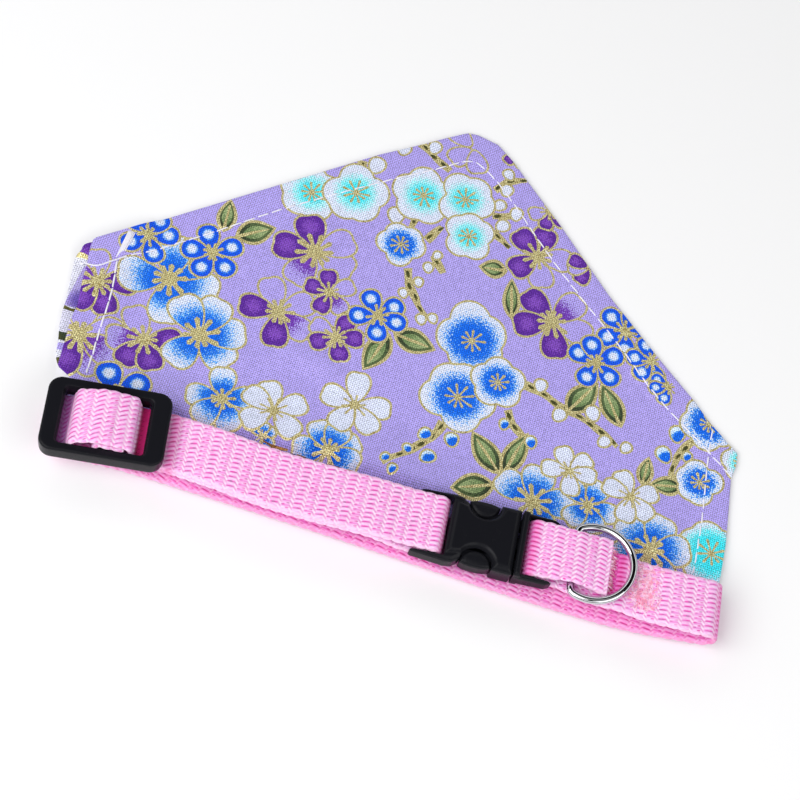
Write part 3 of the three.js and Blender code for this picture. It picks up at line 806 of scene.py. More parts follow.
def blossom_chart():
    """The bandana's whole print."""
    chart = Chart()
    chart.add(even_loop(CLOTH_OUTLINE, 1.1), GROUND)
    for seed, chain in enumerate(TWIGS):
        chart.twig(chain, seed)
    for row in LEAVES:
        chart.leaf(*row)
    for rows, tint in ((BLUE_BUDS, BLUE_BUD), (WHITE_BUDS, WHITE_PETAL)):
        for row in rows:
            chart.bud(*row, tint)
    for rows, tint in ((CYAN_PLUMS, PLUM_CYAN), (DEEP_CYAN_PLUMS, DEEP_CYAN), (BLUE_PLUMS, PLUM_BLUE)):
        for row in rows:
            chart.plum(*row, tint)
    for row in VIOLETS:
        chart.violet(*row)
    for x, y, size, turns in BIG_BLUES:
        chart.parted(x, y, size, turns, SPLIT_BLUE, 0.375)
        chart.heart(x, y, 0.44 * size, 9, size)
    for x, y, size, turns in SAKURA:
        chart.parted(x, y, size, turns, WHITE_PETAL, 0.34)
        chart.add(star((x, y), 0.42 * size, 9, 0.21, 0.34, 0.13 * size, 9, x), OUTLINE)
    for row in SMALL_BLUES:
        chart.dotted(*row)
    for seed, (chain, width, tint) in enumerate(BY_COLLAR):
        chart.add(ribbon(chain, (0.3, width, 0.3), 0.1, seed), tint, chain[0], 6)
    return chart


def triangulate(chart, seams, spacing, rims):
    """The plan cut into triangles along every printed edge, and the shape each one belongs to."""
    points = []
    edges = []

    def include(rows):
        points.extend(Vector(row) for row in rows)
        return list(range(len(points) - len(rows), len(points)))

    faces = [include(outline) for outline in chart.outlines]
    border = chart.outlines[0]
    for distance in rims:
        ring = include(beside(border, distance, closed=True))
        edges.extend(zip(ring, ring[1:] + ring[:1]))
    for seam in seams:
        for distance in (-0.5, 0.0, 0.5):
            line = include(beside(resample(seam, 0.65), distance))
            edges.extend(zip(line, line[1:]))
    low = border.min(axis=0)
    high = border.max(axis=0)
    rise = spacing * math.sqrt(0.75)
    for row, y in enumerate(np.arange(low[1] + rise, high[1], rise)):
        shift = spacing / 2 * (row % 2)
        include([(x, y) for x in np.arange(low[0] + shift, high[0], spacing)])
    cut = delaunay_2d_cdt(points, edges, faces, 1, 1e-4, True)
    places = np.array([(v.x, v.y) for v in cut[0]])
    kept = [(corners, max(owners)) for corners, owners in zip(cut[2], cut[5]) if 0 in owners]
    used, triangles = np.unique([corners for corners, _ in kept], return_inverse=True)
    return places[used], triangles.reshape(-1, 3), np.array([owner for _, owner in kept])


def on_rim(triangles, count):
    """Which points lie on the open edge of a flat set of triangles."""
    sides = np.concatenate([triangles[:, [0, 1]], triangles[:, [1, 2]], triangles[:, [2, 0]]])
    sides.sort(axis=1)
    kinds, uses = np.unique(sides, axis=0, return_counts=True)
    rim = np.zeros(count, bool)
    rim[kinds[uses == 1].ravel()] = True
    return rim


def closed_cloth(name, plan, chart, middle, half, gap, material):
    """A cloth of two faces closed round its rim, with its print on both and its baking map."""
    places, triangles, shapes = plan
    count = len(places)
    rim = on_rim(triangles, count)
    round_in = np.clip(gap / RIM_ROUND, 0, 1)
    swell = half * np.sqrt(np.maximum(0, 1 - (1 - round_in) ** 2))
    swell[rim] = 0
    inside = np.flatnonzero(~rim)
    below = np.arange(count)
    below[inside] = count + np.arange(len(inside))
    top = np.column_stack([places, middle + swell])
    under = np.column_stack([places, middle - swell])[inside]
    faces = np.concatenate([triangles, below[triangles[:, ::-1]]]).tolist()
    piece = add_piece(name, np.concatenate([top, under]), faces, material)
    spots = np.array(chart.spots)[shapes]
    corners = places[triangles]
    spread = (corners - spots[:, None, :2]) / spots[:, None, 2:]
    spread = np.concatenate([spread.reshape(-1, 2), spread[:, ::-1].reshape(-1, 2)])
    write(piece, "spot", "FLOAT_VECTOR", "CORNER", np.column_stack([spread, np.zeros(len(spread))]))
    kinds = np.concatenate([shapes, shapes])
    for part in ("heart", "middle", "ink"):
        colours = np.array([opaque(row[part]) for row in chart.dyes])
        write(piece, part, "FLOAT_COLOR", "FACE", colours[kinds])
    fades = np.array([(*row["fade"], row["speckle"]) for row in chart.dyes])
    golds = np.array([row["gold"] for row in chart.dyes])
    write(piece, "fade", "FLOAT_VECTOR", "FACE", fades[kinds])
    reverse = np.repeat([0.0, 1.0], len(shapes))
    write(piece, "kind", "FLOAT_VECTOR", "FACE", np.column_stack([golds[kinds], reverse, 0 * reverse]))
    lay_out(piece, corners.reshape(-1, 2), corners[:, ::-1].reshape(-1, 2))
    return piece


def write(piece, name, kind, domain, values):
    """Writes one attribute of a mesh."""
    attribute = piece.data.attributes.new(name, kind, domain)
    field = {"FLOAT_COLOR": "color", "FLOAT_VECTOR": "vector", "FLOAT": "value"}[kind]
    attribute.data.foreach_set(field, np.asarray(values, np.float32).ravel())


def write_map(piece, places):
    """Writes the baking map, a place for each corner of each face."""
    layout = piece.data.uv_layers.new(name="OFBake")
    layout.data.foreach_set("uv", places.astype(np.float32).ravel())


def lay_out(piece, top, under):
    """The baking map: the upper face over the full width, and the under face small above it."""
    low = top.min(axis=0)
    size = top.max(axis=0) - low
    wide = 0.99 / size[0]
    small = min((0.985 - wide * size[1] - 0.01) / size[1], 0.5 * wide)
    lower = (under - low) * small + [0.005, 0.01 + wide * size[1]]
    write_map(piece, np.concatenate([0.005 + (top - low) * wide, lower]))


def cotton(name, thread):
    """Printed cotton: dyes spread from each shape's heart, gold over them, and a plain weave."""
    s = Shader(name)
    spot = s.split(s.attribute("spot", "Vector"))
    fade = s.split(s.attribute("fade", "Vector"))
    gold, reverse, _ = s.split(s.attribute("kind", "Vector"))
    radius = s.math("SQRT", s.math("ADD", s.times(spot[0], spot[0]), s.times(spot[1], spot[1])))
    share = s.rise(radius, fade[0], fade[1])
    dithered = s.rise(s.minus(share, s.scaled(s.noise(2500, 1.0), 2.4, -0.7)), -0.16, 0.16)
    blend = s.put("Mix", {0: fade[2], 2: share, 3: dithered}, data_type="FLOAT").outputs[0]
    heart, middle, ink = (s.attribute(part, "Color") for part in ("heart", "middle", "ink"))
    colour = s.mix(s.rise(blend, 0.5, 1.0), s.mix(s.rise(blend, 0.0, 0.5), heart, middle), ink)
    glint = s.scaled(s.noise(4200, 1.0), 3.6, -1.35)
    colour = s.mix(gold, colour, s.between(glint, METALLIC_GOLDS))
    x, y, _ = s.split(s.place)
    checker = s.times(s.wave(x, 2 * thread), s.wave(y, 2 * thread))
    hole = s.math("ADD", *(s.wave(s.math("ADD", line, thread / 4), thread) for line in (x, y)))
    hole = s.rise(hole, 0.3, 2.0)
    slub = s.math("ADD", s.streaks((260, 1900, 1), 1.0), s.streaks((1900, 260, 1), 1.0))
    shade = s.scaled(checker, 0.16, s.scaled(s.minus(slub, 1.0), 0.3, 1.16))
    fibre = s.minus(s.noise(3000, 1.0), 0.5)
    shade = s.scaled(hole, -0.95, s.scaled(fibre, 0.9, shade))
    colour = s.mix(1.0, colour, s.grey(shade), "MULTIPLY")
    colour = s.mix(reverse, colour, s.mix(0.8, colour, opaque(UNPRINTED)))
    shine = s.times(gold, s.minus(1.0, reverse))
    height = s.scaled(checker, 0.25, s.scaled(hole, -0.5, 0.5))
    return s.finish(
        Base_Color=colour, Metallic=s.times(shine, 0.45), Roughness=s.scaled(shine, -0.42, 0.88),
        Normal=s.bump(height, 0.00007, 0.8), Specular_IOR_Level=0.25,
        Sheen_Weight=0.06, Sheen_Roughness=0.5,
    )


def build_cloth(settings):
    """The printed bandana."""
    chart = blossom_chart()
    plan = triangulate(chart, SEAMS, 1.35, (0.12, 0.4))
    gap = rim_gap(plan[0])
    middle, half = cloth_layers(plan[0], gap)
    material = cotton("printed cotton", settings.thread_pitch)
    piece = closed_cloth("bandana", plan, chart, middle, half, gap, material)
    finish_piece(piece, "collar", "cotton_print", "bandana_panel")


# ---- Stitches ----

STITCH_PITCH = 3.9
STITCH_RADIUS = 0.2
SHORTEST_STITCH = 0.8
# The loose end of thread, and the first and last places of the tacking threads' two ends.
LOOSE_THREAD = [(-86.1, 44.2), (-84.0, 43.7), (-81.5, 44.1), (-79.4, 46.0), (-77.5, 47.8)]
TACK_FROM = [(-78.0, 47.9), (-76.3, 49.6)]
TACK_TO = [(-77.4, 57.6), (-75.5, 56.4)]
TACK_THREADS = 6


def stitch(start, end, radius=STITCH_RADIUS):
    """One stitch lying on the cloth, its ends drawn down into it."""
    t = np.linspace(0, 1, 11)
    from_middle = np.abs(2 * t - 1)
    plan = np.asarray(start) + t[:, None] * (np.asarray(end) - np.asarray(start))
    path = np.column_stack([plan, cloth_top(plan) + 0.15 - 0.42 * from_middle**9])
    return tube(path, radius * (1 - 0.25 * from_middle**4), 7, 0.8)


def seam_stitches(seam, gap, radius=STITCH_RADIUS):
    """Stitches an even pitch apart along a seam."""
    line = resample(softened(seam), 0.1)
    lengths = lengths_along(line)
    made = []
    for k in range(int(lengths[-1] // STITCH_PITCH) + 1):
        start = k * STITCH_PITCH + 0.12 * wobble(k, 2)
        end = min(start + STITCH_PITCH - gap, lengths[-1])
        side = 0.07 * wobble(k, 5)
        if end - start > SHORTEST_STITCH:
            ends = points_at(line, lengths, [start, end])
            made.append(stitch(ends[0] + side, ends[1] - side, radius))
    return made


def build_stitches(settings):
    """The seams' stitches, the tacked corner and its loose end of thread."""
    parts = seam_stitches(SEAM_LONG, 0.7) + seam_stitches(SEAM_RIGHT, 0.7)
    parts += seam_stitches(SEAM_LEFT, 0.0, 0.24)
    first, last = np.stack([TACK_FROM, TACK_TO], axis=1)
    for k in range(TACK_THREADS):
        start, end = first + k / (TACK_THREADS - 1) * (last - first)
        start = start + [0.35 * wobble(k, 1), 0.8 * wobble(k, 2)]
        end = end + [0.2 * wobble(k, 3), 0.5 * wobble(k, 4)]
        parts.append(stitch(start, end, 0.16))
    plan = resample(softened(LOOSE_THREAD), 0.4)
    height = np.where(plan[:, 0] < -85.0, 1.15, cloth_top(plan)) + 0.16
    parts.append(tube(np.column_stack([plan, height]), STITCH_RADIUS, 7))
    s = Shader("thread")
    material = s.finish(
        Base_Color=(*settings.thread_colour, 1.0), Roughness=0.6, Sheen_Weight=0.2,
        Normal=s.bump(s.noise(2600, 1.0), 0.00005),
    )
    finish_piece(add_piece("stitches", *joined(parts), material), "collar", "cotton_reverse")


# ---- Underlayer ----

UNDER_OUTLINE = [
    (-77.3, 14.6), (-77.3, 50.0), (-84.6, 51.0), (-86.3, 50.0), (-87.0, 49.0), (-86.8, 47.6), (-87.9, 45.7),
    (-87.3, 41.5), (-86.3, 34.6), (-85.9, 29.1), (-85.3, 25.4), (-84.3, 21.8), (-83.7, 17.7), (-81.6, 14.6),
]
UNDER_HALF = 0.42
# The folded layer's cotton, and the lilac in the bandana's shade on it.
UNDER_COTTON = dye((206, 205, 226), (224, 226, 238), (0, 1), 0.3)
SHADED_LILAC = dye((104, 84, 172), (176, 164, 220), (0.1, 1.0), 0.3)
# What shows of the folded layer's print: dye, and its lower and upper end.
UNDER_BANDS = [
    (STREAK, 15.2, 17.5),
    (GROUND, 19.6, 21.6),
    (dye(OLIVE, DARK_LEAF, (0.2, 1.0), 0.7), 22.3, 24.6),
    (STREAK, 30.6, 31.6),
    (SOLID_VIOLET, 46.6, 52.0),
    (OUTLINE, 45.6, 46.7),
]
UNDER_SHADE = [(-86.2, 31.8), (-82.8, 31.8), (-83.6, 44.0), (-84.9, 43.8)]


def build_underlayer(settings):
    """The folded layer of cotton that shows past the bandana's left edge."""
    chart = Chart()
    outline = softened(looped(UNDER_OUTLINE)[::-1], 1)
    chart.add(resample(outline, 0.8)[:-1], UNDER_COTTON, (-82, 32), 20)
    across = np.linspace(-92, -75, 12)
    for tint, low, high in UNDER_BANDS:
        lower = np.column_stack([across, low + 0.25 * np.sin(across * 1.9)])
        upper = np.column_stack([across, high + 0.25 * np.sin(across * 1.3 + 1)])
        chart.add(np.concatenate([lower, upper[::-1]]), tint, (-85, low), high - low)
    chart.add(even_loop(UNDER_SHADE, 1.0), SHADED_LILAC, (-83.0, 34.0), 4.5)
    plan = triangulate(chart, [], 0.9, (0.12, 0.35))
    x, y = plan[0].T
    gap = chain_distance(plan[0], looped(chart.outlines[0]))
    roll = smoothstep(y, 44.5, 47.5) * (1 - smoothstep(x, -84.6, -83.4))
    middle = 0.48 + 1.0 * roll + 0.05 * np.sin(y * 1.1)
    material = cotton("folded cotton", settings.thread_pitch)
    piece = closed_cloth("underlayer", plan, chart, middle, np.full(len(x), UNDER_HALF), gap, material)
    finish_piece(piece, "collar", "cotton_reverse", "left_hem")


# ---- Webbing ----

SLIDER = {
    "x": SLIDER_MIDDLE[0], "y": SLIDER_MIDDLE[1], "z": 8.0, "turn": 8.0, "length": 29.6, "width": 19.2,
    "corner": 3.2, "window_length": 20.4, "window_width": 14.3, "window_corner": 1.0, "bar": 2.2,
}
SLIDER_SHIFT = (-0.4, 0.5)
WINDOW_SHIFT = (-0.8, 0.4)
# How much deeper the slider's two long walls are than its ends.
SLIDER_WALL = 1.3
SLIDER_POINTS = 160
# How far right of the slider's middle the strap goes under its frame, and how far from the buckle's bars the
# strap's folds are at their deepest painted pink, which stands for shade and light glowing through the folds.
IN_SLIDER = 8.6
FOLD_REACH = 1.85
# The signs of x and y at a rectangle's corners, counter-clockwise.
CORNER_SIGNS = ((1, 1), (-1, 1), (-1, -1), (1, -1))
BUCKLE = {
    "x": 28.5, "y": 1.4, "z": 6.6, "turn": 3.0, "socket_bar": -12.45, "plug_bar": 12.1, "bar_radius": 0.9,
}
RING = {
    "x": 55.0, "y": 2.75, "z": 7.4, "turn": 4.0, "tilt": 6.1, "wire": 0.95, "bend": 9.5, "bar": 5.0,
    "corner": 0.9,
}

# The strap's width, half its thickness with and without its ribs, and its steps along the route (millimetres)
# and round each bend (radians).
STRAP_WIDTH = 14.6
STRAP_HALF = 0.7
STRAP_BODY = 0.54
STRAP_STEP = 0.3
ARC_STEP = 0.12
# Air between a bar and the strap round it.
BAR_GAP = 0.25
# The weave: ribs along the strap, yarns across it with the dark gaps between them, and edge loops.
RIB_PITCH = 2.76
RIB_RISE = 0.18
YARN_PITCH = 1.2
GAP_HALF = 0.17
LOOP_PITCH = 2.76
LOOP_RISE = 0.3
# Heights of the strap's middle: on the back half, under the slider's rim, along the front, at its right end
# and at the bartack, and how much higher a layer lies on the one under it.
BACK_LEVEL = 2.0
UNDER_RIM = 3.75
LOWER_LEVEL = 7.6
RIGHT_LEVEL = 8.3
TACK_LEVEL = 6.3
STACK_STEP = 1.6
# Where the strap turns back at its right end, its bend there, and where its sewn end is.
RIGHT_FOLD = (87.0, 3.1)
STRAP_END = 58.7
END_LEVEL = TACK_LEVEL + STACK_STEP + 0.1
# How many rows the strap's baking map has.
MAP_ROWS = 4
# The webbing's pinks. Where there are two, they are the two ends of a mix.
PALE_FLOAT = (252, 218, 250)
BLOTCH_PINK = (242, 130, 206)
# Painted highlights on the strands along the ribs' ridges.
STRAND_HIGHLIGHT_PINKS = ((234, 146, 208), (255, 240, 252))
# Painted shade and glow: the deep pinks where the strap lies in shade or light glows through its folds.
SHADE_GLOW_PINKS = ((234, 52, 166), (251, 142, 219))
GAP_PINKS = ((240, 78, 182), (184, 108, 162))
# The gaps' colour in the painted shade and glow.
SHADE_GLOW_GAP = (204, 8, 100)
LOOP_PINKS = ((250, 190, 230), (255, 224, 246))
# Painted shade and glow of the strap seen deep in the slider's window.
WINDOW_SHADE_PINKS = ((250, 44, 142), (200, 6, 96))
SLIDER_SHADE = (184, 150, 196)
PALE_TACK = (255, 218, 240)

# The middle of the collar and the turn of its cross lines: x, y and degrees.
FRONT_SWAY = [
    (-80, -1.5, 8), (-65.3, 0.6, 8), (-51, 2.3, 8), (-38, 0.4, 3), (-22, -0.6, 1), (0, 0, 1),
    (13.6, 0.6, 3),
    (28.5, 1.4, 3), (42.6, 2.15, 3), (46.5, 2.3, 3), (51, 1.2, 3), (57, 0.4, 3), (62, 0.7, 3), (67, 0.3, 3),
    (77, -0.3, 3), (88, 0.3, 4),
]
FOLD_SWAY = [(28.5, 1.4, 3), (42.6, 2.15, 3), (50, 2.45, 4), (58.2, 2.75, 4)]
BACK_SWAY = [
    (-80, -1.2, 8), (-65, 0.2, 8), (-53, 0.4, 5), (-15, -0.2, 1), (10, -0.9, 0), (33, -1.7, 0), (58, -2, 1),
    (70, -1.4, 2), (79, -0.3, 3), (88, 0.8, 4),
]


def strap_corners():
    """The strap's route from the side: x, z, bend radius, and layer (0 back, 1 front, 2 folded over)."""
    s = SLIDER["x"]
    z = SLIDER["z"]
    bz = BUCKLE["z"]
    over = SLIDER["bar"] / 2 + BAR_GAP + STRAP_HALF
    wrap = BUCKLE["bar_radius"] + BAR_GAP + STRAP_HALF
    tight = wrap - 0.1
    socket = BUCKLE["x"] + BUCKLE["socket_bar"] + wrap
    plug = BUCKLE["x"] + BUCKLE["plug_bar"]
    under = bz - wrap
    above = bz + wrap
    upper = LOWER_LEVEL + STACK_STEP
    running = UNDER_RIM + STACK_STEP
    fold_x, fold_bend = RIGHT_FOLD
    over_ring = RING["z"] + RING["wire"] + 0.5 + STRAP_HALF
    return [
        (s + 4.8, z + 1.35, 0, 1), (s - over, z + 2.65, 1.6, 1), (s - over, z - over, 1.9, 1),
        (s + IN_SLIDER, UNDER_RIM, 5, 1), (-49, UNDER_RIM, 8, 1), (-38, LOWER_LEVEL, 12, 1),
        (1, LOWER_LEVEL, 12, 1), (8.6, under, 8, 1), (socket, under, tight, 1), (socket, above, tight, 1),
        (9, above, 8, 1), (1, upper, 14, 1), (-38.3, upper, 13, 1), (-49.3, running, 6.5, 1),
        (s + 7.1, running, 1.0, 1), (s + 6.0, z + 3.0, 1.8, 1), (s - 0.8, z + 4.8, 6, 1),
        (s - 7.4, z + 2.5, 2.2, 1), (s - 8.7, running, 1.2, 1), (s - 12.65, running, 1.6, 1),
        (s - 12.65, BACK_LEVEL, 1.6, 0), (fold_x, BACK_LEVEL, fold_bend, 0),
        (fold_x, RIGHT_LEVEL, fold_bend, 1),
        (76.5, RIGHT_LEVEL, 12, 1), (68.5, TACK_LEVEL, 12, 1), (57.5, TACK_LEVEL, 10, 1), (47, under, 8, 1),
        (plug - wrap, under, tight, 1), (plug - wrap, above, tight, 2), (plug + 1, above, 5, 2),
        (RING["x"] - RING["bar"], over_ring, 8, 2), (STRAP_END, END_LEVEL, 0, 2),
    ]


def unit(run):
    """A direction of length 1."""
    return run / np.linalg.norm(run)


def strap_route():
    """The route with its corners rounded, an even step apart: x and z, layers, and lengths along it."""
    corners = strap_corners()
    places = np.array([row[:2] for row in corners], float)
    points = [places[0]]
    marks = [(0.0, corners[0][3])]
    travelled = 0.0
    for i in range(1, len(corners) - 1):
        bend, layer = corners[i][2:]
        back = unit(places[i - 1] - places[i])
        ahead = unit(places[i + 1] - places[i])
        opening = math.acos(np.clip(back @ ahead, -1, 1))
        bent = math.pi - opening
        start = places[i] + back * bend / math.tan(opening / 2)
        centre = places[i] + unit(back + ahead) * bend / math.sin(opening / 2)
        side = math.copysign(1, back[0] * ahead[1] - back[1] * ahead[0])
        travelled += np.linalg.norm(start - points[-1])
        marks.append((travelled + bend * bent / 2, layer))
        travelled += bend * bent
        steps = max(2, math.ceil(bent / ARC_STEP))
        for k in range(steps + 1):
            points.append(centre + turned(*(start - centre), -side * math.degrees(bent) * k / steps))
    points.append(places[-1])
    travelled += np.linalg.norm(points[-1] - points[-2])
    marks.append((travelled, corners[-1][3]))
    route = resample(points, STRAP_STEP)
    lengths = np.linspace(0, travelled, len(route))
    mark_lengths, layers = np.array(marks).T
    i = np.clip(np.searchsorted(mark_lengths, lengths, side="left"), 1, len(marks) - 1)
    share = smoothstep(lengths, mark_lengths[i - 1], mark_lengths[i])
    return route, layers[i - 1] + share * (layers[i] - layers[i - 1]), lengths


def sway(x, layer):
    """The middle of the collar, the slant of its cross lines and its half width, at x in a layer."""
    back, front, fold = (
        np.stack([along(rows, x, 1), along(rows, x, 2)]) for rows in (BACK_SWAY, FRONT_SWAY, FOLD_SWAY)
    )
    first = np.clip(layer, 0, 1)
    second = np.clip(layer - 1, 0, 1)
    shift, turn = back + first * (front - back) + second * (fold - front)
    at_ring = 0.045 * layer * hump(x, RING["x"] - RING["bar"], 5)
    at_slider = 0.05 * first * hump(x, SLIDER["x"], 9, 6)
    pinch = 1 - at_ring - at_slider
    return shift, np.tan(np.radians(turn)), pinch * STRAP_WIDTH / 2


def strap_section(flat, edge):
    """The strap's section: side from -1 to 1, how far out, and how much its ribs and loops show."""
    side = np.linspace(-1, 1, flat + 1)
    turns = math.pi / 2 - math.pi * np.arange(1, edge) / edge
    face = np.column_stack([side, side**0, side**0, 0 * side])
    rim = np.column_stack([turns**0, np.sin(turns), 0 * turns, np.cos(turns)])
    half = np.concatenate([face, rim])
    return np.concatenate([half, half * [-1, -1, 1, -1]])


def strap_surface(route, layer, lengths, ahead, section):
    """Points of the woven strap, and how far each is across it."""
    shift, slant, half_width = sway(route[:, 0], layer)
    side, out, ribbed, bulge = section.T
    rib = np.abs(np.sin(math.pi * lengths / RIB_PITCH)) ** 0.7
    uneven = 0.75 + 0.25 * np.sin(lengths * 0.91) * np.sin(lengths * 2.3 + 1)
    loops = LOOP_RISE * uneven * (np.abs(np.sin(math.pi * lengths / LOOP_PITCH)) - 0.5)
    inner = half_width - STRAP_BODY * 0.8 + loops
    across = side * inner[:, None] + bulge * STRAP_BODY * 0.8
    outward = out * (STRAP_BODY + RIB_RISE * rib[:, None] * ribbed * (1 - 0.5 * np.abs(side) ** 8))
    x = route[:, 0, None] - ahead[:, 1, None] * outward - slant[:, None] * across
    y = across + shift[:, None]
    z = route[:, 1, None] + ahead[:, 0, None] * outward
    return np.stack([x, y, z], axis=2).reshape(-1, 3), across


def strap_shade_glow(route, layer, ahead, across):
    """Painted shade and glow on the strap: deep pink where it lies in shade or light glows through its folds,
    where the slider shades it, and its shaded band deep in the slider's window.
    """
    x, z = route.T
    on_front = layer > 0.5
    low = on_front * (z < SLIDER["z"])
    high = on_front * (z > BUCKLE["z"])
    # Painted shade and glow where the strap lies deep in the slider's window.
    window_shade = hump(x, SLIDER["x"] + IN_SLIDER, 1.9, 6) * low
    # Painted shade and glow: deeper pink past the slider's rim, at the buckle's bars, on the back half under
    # the front one and in the steep folds.
    past_slider = 0.6 * hump(x, SLIDER["x"] + 15.6, 1.8) * on_front
    at_plug = hump(x, BUCKLE["x"] + BUCKLE["plug_bar"] - FOLD_REACH, 1.9, 4) * high
    at_socket = hump(x, BUCKLE["x"] + BUCKLE["socket_bar"] + FOLD_REACH, 0.9, 4) * high
    at_back = 0.45 * (1 - np.clip(layer, 0, 1))
    steep = 0.6 * smoothstep(np.abs(ahead[:, 1]), 0.3, 0.85) * smoothstep(x, -60.0, -40.0)
    shade_glow = np.max([at_back, steep, window_shade, past_slider, 0.85 * at_plug, 0.85 * 0.7 * at_socket], axis=0)
    # Painted shade on the lower layer between the strap's end and the ring.
    end_shade = hump(x, 61.0, 2.4, 4) * (layer > 0.9) * (layer < 1.1)
    shade_glow = np.maximum(shade_glow[:, None], end_shade[:, None] * smoothstep(across, -5.6, -3.6))
    return shade_glow, smoothstep(-x, 72.0, 74.5) * low, window_shade


def lay_out_strap(piece, stretches, around):
    """The strap's baking map: its length cut into a few rows, and its section up each row."""
    per_row = math.ceil(stretches / MAP_ROWS)
    station = np.arange(stretches)[:, None]
    left = station % per_row / per_row
    right = left + 1 / per_row
    base = station // per_row / MAP_ROWS
    step = np.arange(around)
    low = base + step / around / MAP_ROWS
    high = base + (step + 1) / around / MAP_ROWS
    pairs = ((left, low), (right, low), (right, high), (left, high))
    corners = [np.broadcast_arrays(u, v) for u, v in pairs]
    sides = np.moveaxis(np.array(corners), (2, 3, 0, 1), (0, 1, 2, 3)).reshape(-1, 2)
    caps = np.full((2 * around, 2), 0.5)
    write_map(piece, 0.002 + 0.996 * np.concatenate([sides, caps]))


def build_webbing(settings):
    """The collar's strap, woven in ribs, along its whole route."""
    route, layer, lengths = strap_route()
    ahead = headings(route)
    section = strap_section(20, 5)
    count = len(route)
    around = len(section)
    points, across = strap_surface(route, layer, lengths, ahead, section)
    piece = add_piece("strap", points, bands(count, around), woven_pink("woven strap", settings))
    strap = np.stack([np.repeat(lengths, around), across.ravel(), np.tile(section[:, 1], count)], axis=1)
    write(piece, "strap", "FLOAT_VECTOR", "POINT", strap)
    shade_glow, shade, window_shade = strap_shade_glow(route, layer, ahead, across)
    write(piece, "shade_glow", "FLOAT", "POINT", shade_glow)
    write(piece, "shade", "FLOAT", "POINT", np.repeat(shade, around))
    write(piece, "window_shade", "FLOAT", "POINT", np.repeat(window_shade, around))
    lay_out_strap(piece, count - 1, around)
    finish_piece(piece, "collar", "webbing_pink", "webbing")


def woven_pink(name, settings):
    """Pink nylon webbing: pale floats in ribs across the strap, with darker gaps between them."""
    s = Shader(name)
    length, across, _ = s.split(s.attribute("strap", "Vector"))
    # How much painted shade and glow each point of the strap has.
    shade_glow = s.attribute("shade_glow")
    in_rib = s.from_nearest(length, RIB_PITCH, 0.5 * RIB_PITCH)
    near_slider = s.fall(s.split(s.place)[0], -0.058, -0.03)
    leaning = s.scaled(in_rib, s.scaled(near_slider, 0.3, 0.16), across)

    def gaps(start, half_length, phase):
        """Dark lens-shaped gaps between the yarns, one in every second rib."""
        a = s.math("DIVIDE", s.from_nearest(length, 2 * RIB_PITCH, start * RIB_PITCH), half_length)
        b = s.math("DIVIDE", s.from_nearest(leaning, YARN_PITCH, phase * YARN_PITCH), GAP_HALF)
        return s.fall(s.math("ADD", s.times(a, a), s.times(b, b)), 0.3, 1.6)

    small = s.math("MAXIMUM", s.times(gaps(1.30, 0.45, 0.5), 0.8), s.times(gaps(1.70, 0.45, 0.15), 0.8))
    dark = s.math("MAXIMUM", gaps(0.5, 1.0, 0.0), small)
    ridge = s.fall(s.math("ABSOLUTE", s.from_nearest(length, RIB_PITCH)), 0.25, 0.7)
    uneven = s.noise(620)
    dark = s.times(dark, s.scaled(uneven, 3.0, -0.65))
    dark = s.math("MINIMUM", s.math("MAXIMUM", dark, 0.0), 1.0)
    floats = s.scaled(s.wave(s.math("ADD", leaning, YARN_PITCH / 4), YARN_PITCH), -0.5, 0.5)
    streak = s.streaks((900, 2600, 900), 2.0)
    pale = s.times(floats, s.scaled(streak, 1.9, -0.15))
    light = s.mix(pale, (*settings.strap_colour, 1.0), opaque(PALE_FLOAT))
    blotch = s.rise(s.noise(230, 3.0), 0.5, 0.75)
    light = s.mix(s.times(blotch, 0.4), light, opaque(BLOTCH_PINK))
    # Painted highlights: pale slanted strands where light catches the ribs' ridges.
    strand_highlight = s.wave(s.scaled(s.from_nearest(length, RIB_PITCH), -0.9, across), YARN_PITCH)
    strand_highlight = s.scaled(strand_highlight, s.scaled(uneven, 1.6, -0.3), 0.5)
    light = s.mix(s.times(ridge, 0.7), light, s.between(strand_highlight, STRAND_HIGHLIGHT_PINKS))
    # Painted shade and glow: deeper pink where the strap lies in shade or light glows through the nylon.
    deep = s.between(pale, SHADE_GLOW_PINKS)
    tips = s.rise(s.noise(1100, 1.0), 0.48, 0.66)
    gap_colour = s.mix(shade_glow, s.between(tips, GAP_PINKS), opaque(SHADE_GLOW_GAP))
    colour = s.mix(dark, s.mix(shade_glow, light, deep), gap_colour)
    edge = s.rise(s.math("ABSOLUTE", across), 0.5 * STRAP_WIDTH - 0.55, 0.5 * STRAP_WIDTH - 0.2)
    between_loops = s.rise(s.math("ABSOLUTE", s.from_nearest(length, LOOP_PITCH)), 0.1, 0.45)
    loop_colour = s.mix(shade_glow, s.between(between_loops, LOOP_PINKS), deep)
    colour = s.mix(s.times(edge, 0.7), colour, loop_colour)
    shaded = s.mix(1.0, colour, opaque(SLIDER_SHADE), "MULTIPLY")
    colour = s.mix(s.attribute("shade"), colour, shaded)
    # Painted shade and glow on the strap's band deep in the slider's window.
    colour = s.mix(s.attribute("window_shade"), colour, s.between(dark, WINDOW_SHADE_PINKS))
    height = s.minus(s.scaled(floats, 0.35, 0.5), s.times(dark, 0.6))
    height = s.scaled(streak, 0.25, s.minus(height, s.times(ridge, 0.15)))
    return s.finish(
        Base_Color=colour, Roughness=0.55, Normal=s.bump(height, 0.00016, 0.8), Sheen_Weight=0.15,
        Specular_IOR_Level=0.3,
    )


# ---- Bartack ----

# The bartack's threads: how many, the middle of the patch, its half length and its half width.
BARTACK_THREADS = 170
BARTACK_MIDDLE = (68.2, 0.8)
BARTACK_REACH = (4.2, 5.6)
# How many threads fray from the strap's end, how far they spread to each side, and a thread's radius.
FRAY_THREADS = 70
FRAY_HALF = 5.6
THREAD_RADIUS = 0.12
